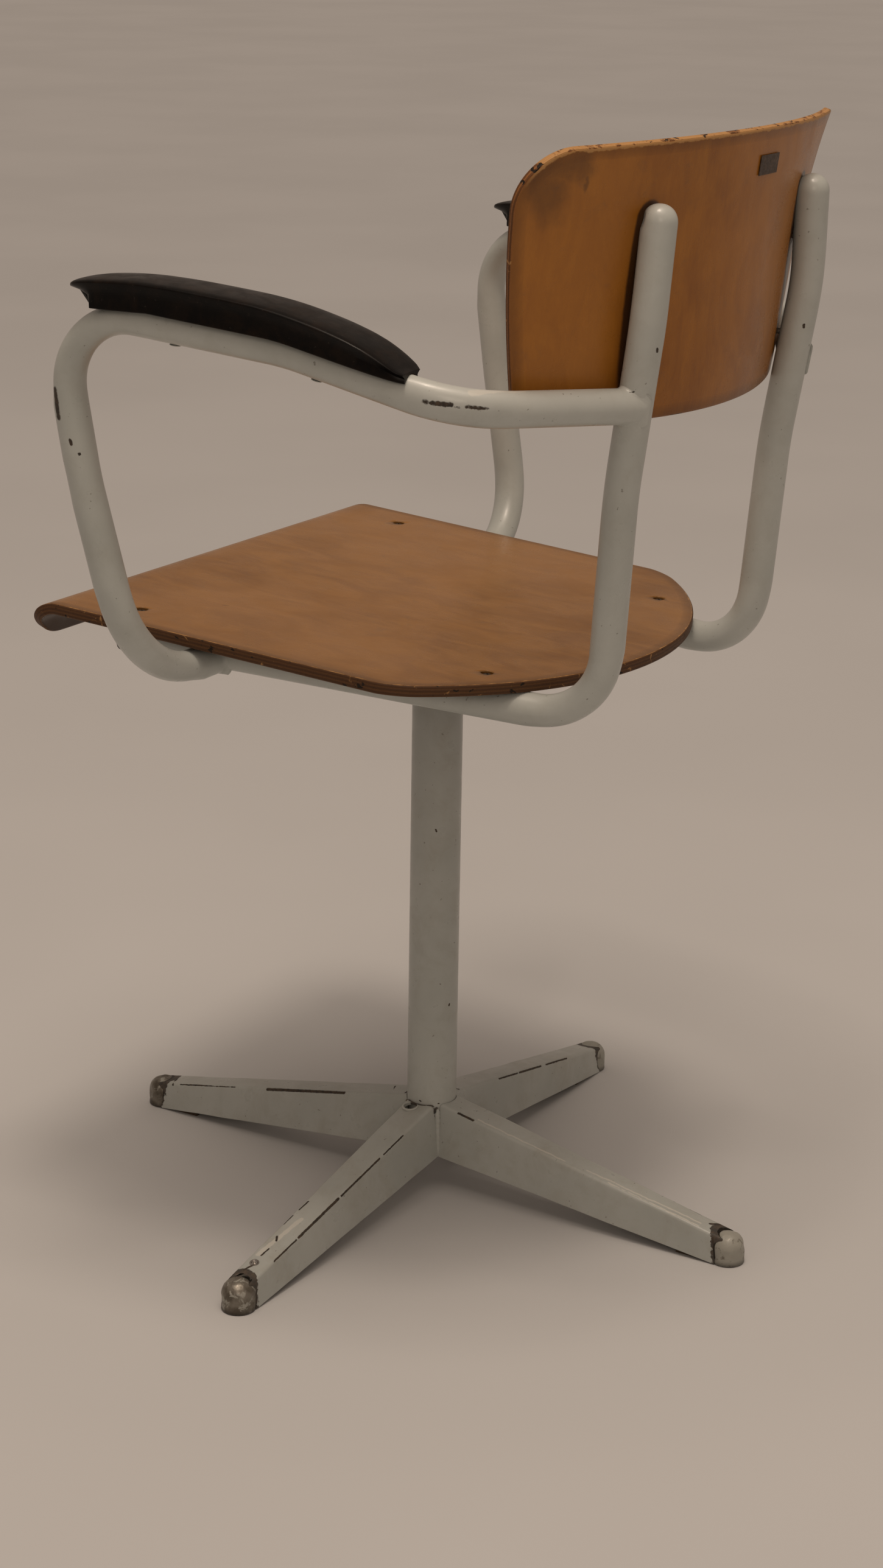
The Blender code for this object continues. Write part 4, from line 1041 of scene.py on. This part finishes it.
def even_loop(points):
    """A closed outline with evenly spaced points, counter-clockwise."""
    line = np.array(points + points[:1])
    run = run_along(line)
    count = int(round(run[-1] / SHEET_STEP))
    even = np.linspace(0, run[-1], count, endpoint=False)
    loop = np.stack([np.interp(even, run, line[:, k]) for k in range(2)], axis=1)
    area = np.sum(loop[:, 0] * np.roll(loop[:, 1], -1) - loop[:, 1] * np.roll(loop[:, 0], -1))
    return loop if area > 0 else loop[::-1]


def corner_drop(x, half, corner):
    """How far a rounded corner has pulled the edge in at x."""
    into = min(max((abs(x) - (half - corner)) / corner, 0.0), 1.0)
    return corner * (1 - math.sqrt(1 - into * into))


def columns(half, corner):
    """Positions across a shell, drawn together where its corners turn."""
    flat = half - corner
    middle = [flat * (2 * i / 60 - 1) for i in range(61)]
    turn = [flat + corner * math.sin(math.pi / 2 * k / 30) for k in range(1, 31)]
    return [-x for x in reversed(turn)] + middle + turn


def edge_row(half, corner, edge, inward):
    """Points of one edge of a sheet, whose rounded corners turn inward (1 or -1)."""
    return [(x, edge(x) + inward * corner_drop(x, half, corner)) for x in columns(half, corner)]


def inner_grid(loop):
    """Grid points well inside an outline."""
    low, high = loop.min(0), loop.max(0)
    ahead = np.roll(loop, -1, axis=0)
    points = []
    for u in np.arange(low[0] + SHEET_MARGIN, high[0] - SHEET_MARGIN, SHEET_GRID):
        for v in np.arange(low[1] + SHEET_MARGIN, high[1] - SHEET_MARGIN, SHEET_GRID):
            cross = (loop[:, 1] > v) != (ahead[:, 1] > v)
            at = (ahead[:, 0] - loop[:, 0]) * (v - loop[:, 1])
            at = at / np.where(cross, ahead[:, 1] - loop[:, 1], 1.0) + loop[:, 0]
            if np.sum(cross & (u < at)) % 2 == 0:
                continue
            if np.linalg.norm(loop - (u, v), axis=1).min() > SHEET_MARGIN:
                points.append((u, v))
    return points


def seat_surface(x, run, depth):
    """Place at a depth below the seat's upper face; run is measured along the sheet."""
    y = max(run, LIP_START)
    t = (SEAT_BACK_Y - y) / (SEAT_BACK_Y - LIP_START)
    wide = x / SEAT_HALF_BACK * lerp((SEAT_HALF_BACK, SEAT_HALF_FRONT), t)
    tilt = math.atan(SEAT_FALL)
    along = Vector((0, -math.cos(tilt), math.sin(tilt)))
    up = Vector((0, math.sin(tilt), math.cos(tilt)))
    point = Vector((wide, y, SEAT_Z - SEAT_FALL * y))
    left = LIP_START - run
    if left <= 0:
        return point - up * depth
    turn = min(left / LIP_R, LIP_TURN)
    point += along * LIP_R * math.sin(turn) - up * LIP_R * (1 - math.cos(turn))
    ahead = along * math.cos(turn) - up * math.sin(turn)
    out = up * math.cos(turn) + along * math.sin(turn)
    return point + ahead * max(0.0, left - LIP_R * LIP_TURN) - out * depth


def build_seat():
    front_run = LIP_START - LIP_R * LIP_TURN - LIP_FLAT
    rear = edge_row(SEAT_HALF_BACK, SEAT_CORNER_BACK, lambda x: SEAT_BACK_Y - (
        SEAT_BACK_R - math.sqrt(SEAT_BACK_R ** 2 - x * x)), -1)
    front = edge_row(SEAT_HALF_BACK, SEAT_CORNER_FRONT, lambda x: front_run, 1)
    seat = ply_sheet("seat_ply", "seat_shell", rear + front[::-1], seat_surface, SEAT_T,
                     [SEAT_FACE, SEAT_EDGE], 0.0016)
    up = Vector((0, SEAT_FALL, 1)).normalized()
    holes = []
    for label, side in SIDES:
        for end, x, y in SEAT_SCREWS:
            face = Vector((x * side, y, SEAT_Z - SEAT_FALL * y))
            holes.append((face - up * SEAT_SINK, up, SEAT_RECESS_R, 0.010))
            holes.append((face - up * 0.012, up, SCREW_HOLE_R, 0.020))
            build_screw("seat_screw_%s_%s" % (end, label), face - up * (SEAT_SINK - UNDER_HEAD), up,
                        0.0043, 0.0020)
    drill(seat, holes)


def build_screw(name, seat, out, head_r, head_h, look=SCREW_STEEL):
    """Slotted pan-head screw; only its head is modelled finely, the shank stays hidden."""
    profile = [(0.0021, -0.010), (0.0021, 0.0), (head_r * 0.96, 0.0), (head_r, head_h * 0.15)]
    for k in range(1, 7):
        turn = math.pi / 2 * k / 7
        profile.append((head_r * math.cos(turn), head_h * (0.15 + 0.85 * math.sin(turn))))
    screw = add_skin(name + "_head", turned(profile, seat, out, 32), look, "seat",
                     "bright_steel", [name])
    side = Vector(out).orthogonal().normalized()
    across = Vector(out).cross(side)
    slot = []
    for lift in (head_h * 0.55, head_h * 2):
        slot.append([Vector(seat) + Vector(out) * lift + side * a * head_r * 1.2
                     + across * b * 0.0005 for a, b in ((-1, -1), (1, -1), (1, 1), (-1, 1))])
    cut_out(screw, *skin(slot))



# ================================================================ backrest
def series(terms, t):
    return sum(term * t ** power for power, term in enumerate(terms))


def back_rear(x, z):
    """Depth (Y) of the backrest's rear face."""
    t = z - BACK_MID
    radius = series(BACK_R, t)
    return series(BACK_Y, t) - (radius - math.sqrt(radius * radius - x * x))


def back_normal(x, z):
    """Unit normal of the rear face, away from the sitter."""
    step = 0.001
    dx = (back_rear(x + step, z) - back_rear(x - step, z)) / (2 * step)
    dz = (back_rear(x, z + step) - back_rear(x, z - step)) / (2 * step)
    return Vector((-dx, 1, -dz)).normalized()


def back_surface(x0, z, depth):
    x = x0 * (1 + BACK_WIDEN * (z - BACK_MID) / BACK_HALF)
    return Vector((x, back_rear(x, z), z)) - back_normal(x, z) * depth


def build_back():
    top = edge_row(BACK_HALF, BACK_CORNER_TOP, lambda x: BACK_TOP - BACK_TOP_BOW * x ** 2, -1)
    low = edge_row(BACK_HALF, BACK_CORNER_LOW, lambda x: BACK_LOW + BACK_LOW_BOW * x ** 2, 1)
    back = ply_sheet("back_ply", "backrest_shell", top + low[::-1], back_surface, BACK_T,
                     [BACK_FACE, BACK_EDGE], 0.0013)
    holes = []
    for label, side in SIDES:
        line = side_line(side)
        for level, z in BACK_SCREWS:
            centre = Vector(line[np.argmin(np.abs(line[:, 2] - z) + (line[:, 1] < 0.15))])
            normal = back_normal(centre.x, z)
            face = Vector((centre.x, back_rear(centre.x, z), z))
            reach = (centre - face).dot(normal)
            head = centre - normal * (reach + BACK_T + UNDER_HEAD)
            holes.append((head - normal * 0.002, normal, SCREW_HOLE_R, BACK_T + 0.010))
            build_screw("back_screw_%s_%s" % (level, label), head, -normal, 0.0055, 0.0026)
    drill(back, holes)


# ================================================================ base
def leg_profile(t, inset=0.0):
    """Half section of a leg at a share of its length, from the lower edge to the crown."""
    top_half = lerp(LEG_TOP_HALF, t) - inset
    low_half = lerp(LEG_LOW_HALF, t) - inset
    top = lerp(LEG_TOP_Z, t) - inset
    low = lerp(LEG_LOW_Z, t)
    bend = max(LEG_BEND[0] - inset * 0.6, LEG_BEND[1])
    shoulder = lerp((low_half, top_half), LEG_SHOULDER)
    points = [(lerp((low_half, shoulder), k / 6), low + (top - bend - low) * k / 6)
              for k in range(7)]
    for k in range(1, 7):
        turn = math.pi / 2 * k / 6
        points.append((shoulder - bend * (1 - math.cos(turn)),
                       top - bend * (1 - math.sin(turn)) - LEG_CROWN))
    inner = shoulder - bend
    points += [(inner * k, top - LEG_CROWN + LEG_CROWN * (1 - k)) for k in (0.75, 0.5, 0.25)]
    return points


def leg_ring_points(t):
    """Whole section of a leg, outside and then inside, as one loop."""
    outside = leg_profile(t)
    inside = leg_profile(t, LEG_WALL)
    crown = [(0.0, lerp(LEG_TOP_Z, t))]
    ceiling = [(0.0, lerp(LEG_TOP_Z, t) - LEG_WALL)]
    loop = outside + crown + [(-x, z) for x, z in reversed(outside)]
    loop += [(-x, z) for x, z in inside] + ceiling + list(reversed(inside))
    return loop


def half_chord(radius, x):
    """Half the length of a circle's chord at a distance x from its middle."""
    return math.sqrt(max(radius ** 2 - x * x, 0.0))


def leg_share(run):
    return (run - LEG_IN) / (LEG_OUT - LEG_IN)


def quarter_turn(quarter, extra=0.0):
    return Matrix.Rotation(quarter * math.pi / 2 + extra, 3, "Z")


def build_leg(label, quarter):
    turn = quarter_turn(quarter)
    rings = []
    steps = 44
    for k in range(steps + 1):
        share = k / steps
        ring = []
        for x, z in leg_ring_points(share):
            wide = abs(x)
            start = max(wide + 0.0002, half_chord(COLUMN_R + LEG_GAP_COLUMN, x))
            end = FOOT_AT - half_chord(cap_radius(z, share) + LEG_GAP_CAP, x)
            end += LEG_TORN * noise.noise(Vector((x * 260, z * 200, quarter * 7.3)))
            run = start + (end - start) * share
            t = leg_share(run)
            exact = leg_height(z, share, t)
            ripple = LEG_RIPPLE * noise.noise(Vector((run * 38, x * 60, quarter * 5.1 + z * 9)))
            ring.append(turn @ Vector((run, x, exact + ripple * (z > SMOOTH_BELOW))))
        rings.append(ring)
    leg = add_skin("leg_" + label, rings, BASE_PAINT, "base", "frame_paint",
                   ["base_leg_" + label])
    soften(leg, 0.0004, 2, 50)


def cap_radius(z, share):
    """Radius of the foot cap at the height a leg point has where the leg ends."""
    low = lerp(LEG_LOW_Z, share)
    up = (z - low) / (lerp(LEG_TOP_Z, share) - low)
    height = LEG_LOW_Z[1] + up * (LEG_TOP_Z[1] - LEG_LOW_Z[1])
    straight = FOOT_H * CAP_STRAIGHT
    rise = min(max((height - straight) / straight, 0.0), 1.0)
    return FOOT_R * max((1 - rise * rise) ** 0.4, 0.62)


def leg_height(z, share, t):
    """Height of a section point once its run is known, as the leg tapers straight."""
    top_then, low_then = lerp(LEG_TOP_Z, share), lerp(LEG_LOW_Z, share)
    up = (z - low_then) / (top_then - low_then)
    return lerp(LEG_LOW_Z, t) + up * (lerp(LEG_TOP_Z, t) - lerp(LEG_LOW_Z, t))


def build_cap(label, quarter, look):
    centre = quarter_turn(quarter) @ Vector((FOOT_AT, 0, 0))
    straight = FOOT_H * CAP_STRAIGHT
    profile = [(FOOT_R - 0.0016, 0.0030), (FOOT_R - 0.0014, CAP_LIFT), (FOOT_R - 0.0003, CAP_LIFT),
               (FOOT_R, CAP_LIFT + 0.0004)]
    profile += [(FOOT_R, CAP_LIFT + (straight - CAP_LIFT) * k / 6) for k in range(1, 7)]
    for k in range(1, 15):
        turn = math.pi / 2 * k / 15
        profile.append((FOOT_R * math.cos(turn) ** 0.8, straight + straight * math.sin(turn)))
    rings = turned(profile, centre)
    dented = []
    for ring in rings:
        out = []
        for p in ring:
            dent = noise.noise(Vector(p) * CAP_DENT_SCALE + Vector((0, 0, quarter * 3.7)))
            middle = Vector((centre.x, centre.y, p.z * 0.7))
            press = max(dent, 0) * CAP_DENT if p.z > SMOOTH_BELOW else 0.0
            out.append(p + (middle - p).normalized() * press)
        dented.append(out)
    add_skin("cap_" + label, dented, look, "base", "cap_steel", ["foot_cap_" + label])


def build_column():
    low, high = COLUMN_Z
    profile = [(COLUMN_R - 0.0012, low), (COLUMN_R, low + 0.0010)]
    profile += [(COLUMN_R, low + 0.001 + (high - low - 0.003) * k / 40) for k in range(1, 41)]
    profile += [(COLUMN_R - 0.0004, high - 0.0006), (COLUMN_R - 0.0012, high),
                (0.0178, high), (COLUMN_BORE, high - 0.0005), (COLUMN_BORE, high - 0.02)]
    add_skin("column", turned(profile, sides=96), COLUMN_PAINT, "base", "frame_paint",
             ["column_tube"])


def build_base_welds():
    """Rounded seams where two legs' side walls meet, on the diagonals."""
    for quarter, label in enumerate(QUARTERS):
        turn = quarter_turn(quarter, math.pi / 4)
        rings = []
        steps = 26
        for k in range(steps + 1):
            t = k / steps
            half = lerp((LEG_LOW_HALF[0] - 0.0002, 0.0143), t)
            z = lerp((LEG_LOW_Z[0] + 0.0006, 0.0716), t)
            radius = lerp((0.0021, 0.0027), t) + 0.0002 * math.sin(k * 2.1)
            radius *= min(1.0, 0.5 + 0.25 * min(k, steps - k))
            centre = Vector((half * math.sqrt(2) - 0.0005, 0, z))
            rings.append([turn @ (centre + Vector((radius * c, radius * s, 0)))
                          for c, s in circle(16)])
        add_skin("base_seam_" + label, rings, BASE_PAINT, "base", "frame_paint")


def build_lip():
    """Curled rim of the relief hole beside the column, on the left leg."""
    centre = Vector((*RELIEF_AT, 0.0727))
    rings = []
    steps = 30
    for k in range(steps + 1):
        turn = math.radians(-100) + math.radians(220) * k / steps
        spot = centre + Vector((math.cos(turn), math.sin(turn), LEG_SLOPE * math.cos(turn))) * 0.0060
        out = Vector((math.cos(turn), math.sin(turn), 0))
        radius = 0.0011 * (0.35 + 0.65 * math.sin(math.pi * k / steps) ** 0.5)
        rings.append([spot + out * radius * c + Vector((0, 0, radius * s))
                      for c, s in circle(12)])
    add_skin("hole_lip", rings, COLUMN_PAINT, "base", "frame_paint")


def build_rivet():
    """Rivet that holds the glide, on the left leg near its foot."""
    top = lerp(LEG_TOP_Z, leg_share(RIVET_AT[0]))
    profile = [(0.0038, -0.0008), (0.0038, 0.0003), (0.0034, 0.0009), (0.0026, 0.0010),
               (0.0020, 0.0004), (0.0016, -0.0001), (0.0010, 0.0004), (0.0003, 0.0006)]
    rings = turned(profile, (*RIVET_AT, top), (-LEG_SLOPE, 0, 1), 32)
    add_skin("glide_rivet", rings, STEEL, "base", "bright_steel")


# ================================================================ CAD nodes that stay
KEPT = {
    "lower_bush": NYLON, "upper_bush": NYLON, "thrust_washer": BRASS, "spindle": STEEL,
    "retaining_washer": STEEL, "spindle_circlip": SPRING_STEEL, "carrier_plate": FRAME_PAINT,
    "cross_beam_front": FRAME_PAINT, "cross_beam_rear": FRAME_PAINT,
    "rail_plug_left": PLUG_BLACK, "rail_plug_right": PLUG_BLACK, "label_plate": LABEL_DARK,
}
KEPT.update({"foot_glide_" + label: GLIDE_BROWN for label in QUARTERS})
SOFTENED = ("carrier_plate", "cross_beam_front", "cross_beam_rear")


def dress_cad_nodes():
    for name, look in KEPT.items():
        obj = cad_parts[name]
        obj.data.materials.clear()
        obj.data.materials.append(look)
    for name in SOFTENED:
        soften(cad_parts[name], 0.0006, 2, 40)


def build_pad_screws():
    track = arm_track()
    for label, side in SIDES:
        for end, run in PAD_SCREWS:
            centre, heading, _, slope = arm_frame(track, run)
            up = (Vector((0, 0, 1)) - heading * slope).normalized()
            seat = centre - up * (TUBE_R + UNDER_HEAD)
            build_screw("pad_screw_%s_%s" % (end, label), flip(seat, side), -flip(up, side),
                        0.0042, 0.0009, FRAME_PAINT)


# ================================================================ stage
FLOOR_HALF = 40
FLOOR_GREYS = (0.490, 0.518)
SKY_COLOUR = (1.0, 0.80, 0.655)
SKY_STRENGTH = 0.275
LAMP_COLOUR = (1.0, 0.83, 0.68)
SUN_COLOUR = (1.0, 0.84, 0.70)
SUN_STRENGTH = 1.10
SUN_AIM = (-0.16, -0.10, -1.0)
CAMERA_AT = (1.8811, 1.1506, 1.0496)
CAMERA_TURN = (121.35, 17.81, 0.936)        # degrees: azimuth, elevation, roll
FILM_HEIGHT = 36.0          # mm, like the lens
LENS = 67.22


def build_stage():
    floor = bpy.data.meshes.new("floor")
    corners = ((-1, -1), (1, -1), (1, 1), (-1, 1))
    floor.from_pydata([(x * FLOOR_HALF, y * FLOOR_HALF, 0) for x, y in corners], [],
                      [(0, 1, 2, 3)])
    g = Graph("floor_pale")
    tone = g.ramp(g.noise(1.2, 3, 0.5), 0.3, 0.7)
    colour = g.mix(tone, *((grey, grey, grey) for grey in FLOOR_GREYS))
    floor.materials.append(g.finish(colour, 0.75, g.bump(g.noise(30, 4, 0.6), 0.0005, 0.2)))
    obj = bpy.data.objects.new("floor", floor)
    bpy.context.scene.collection.objects.link(obj)

    world = bpy.data.worlds.new("studio")
    world.use_nodes = True
    sky = world.node_tree.nodes["Background"]
    sky.inputs["Color"].default_value = (*SKY_COLOUR, 1)
    sky.inputs["Strength"].default_value = SKY_STRENGTH
    bpy.context.scene.world = world


def add_light(name, place, target, size, power):
    lamp = bpy.data.lights.new(name, "AREA")
    lamp.shape = "DISK"
    lamp.size = size
    lamp.energy = power
    lamp.color = LAMP_COLOUR
    obj = bpy.data.objects.new(name, lamp)
    obj.location = place
    aim = Vector(target) - Vector(place)
    obj.rotation_euler = aim.to_track_quat("-Z", "Y").to_euler()
    bpy.context.scene.collection.objects.link(obj)


def add_sky_light():
    """Even soft light from nearly overhead, leaning a little to the viewer."""
    lamp = bpy.data.lights.new("soft_top", "SUN")
    lamp.angle = math.radians(50)
    lamp.energy = SUN_STRENGTH
    lamp.color = SUN_COLOUR
    obj = bpy.data.objects.new("soft_top", lamp)
    obj.rotation_euler = Vector(SUN_AIM).to_track_quat("-Z", "Y").to_euler()
    bpy.context.scene.collection.objects.link(obj)


def add_camera():
    data = bpy.data.cameras.new("view")
    data.sensor_fit = "VERTICAL"
    data.sensor_height = FILM_HEIGHT
    data.lens = LENS
    obj = bpy.data.objects.new("view", data)
    azimuth, lift, roll = (math.radians(angle) for angle in CAMERA_TURN)
    back = Vector((math.sin(azimuth) * math.cos(lift), -math.cos(azimuth) * math.cos(lift),
                   math.sin(lift)))
    right = Vector((math.cos(azimuth), math.sin(azimuth), 0))
    up = back.cross(right)
    level = right * math.cos(roll) + up * math.sin(roll)
    upward = up * math.cos(roll) - right * math.sin(roll)
    turn = Matrix((level, upward, back)).transposed().to_4x4()
    obj.matrix_world = Matrix.Translation(CAMERA_AT) @ turn
    bpy.context.scene.collection.objects.link(obj)
    bpy.context.scene.camera = obj


def main():
    build_column()
    for quarter, label in enumerate(QUARTERS):
        build_leg(label, quarter)
        build_cap(label, quarter, CAP_BARE if label in ("left", "front") else CAP_PAINTED)
    build_base_welds()
    drill(bpy.data.objects["leg_left"], [((*RELIEF_AT, 0.0640), (0, 0, 1), RELIEF_R, 0.02)])
    build_lip()
    build_rivet()
    for label, side in SIDES:
        build_side_frame(label, side)
        build_arm(label, side)
        build_pad(label, side)
    build_pad_screws()
    build_seat()
    build_back()
    dress_cad_nodes()
    build_stage()
    add_light("overhead", (0.5, 0.3, 3.4), (0, 0, 0.4), 0.7, 28)
    add_light("viewer_side", (3.4, 2.5, 2.3), (0, 0, 0.45), 1.6, 17)
    add_sky_light()
    add_camera()
    bpy.context.scene.view_settings.view_transform = "Standard"


main()
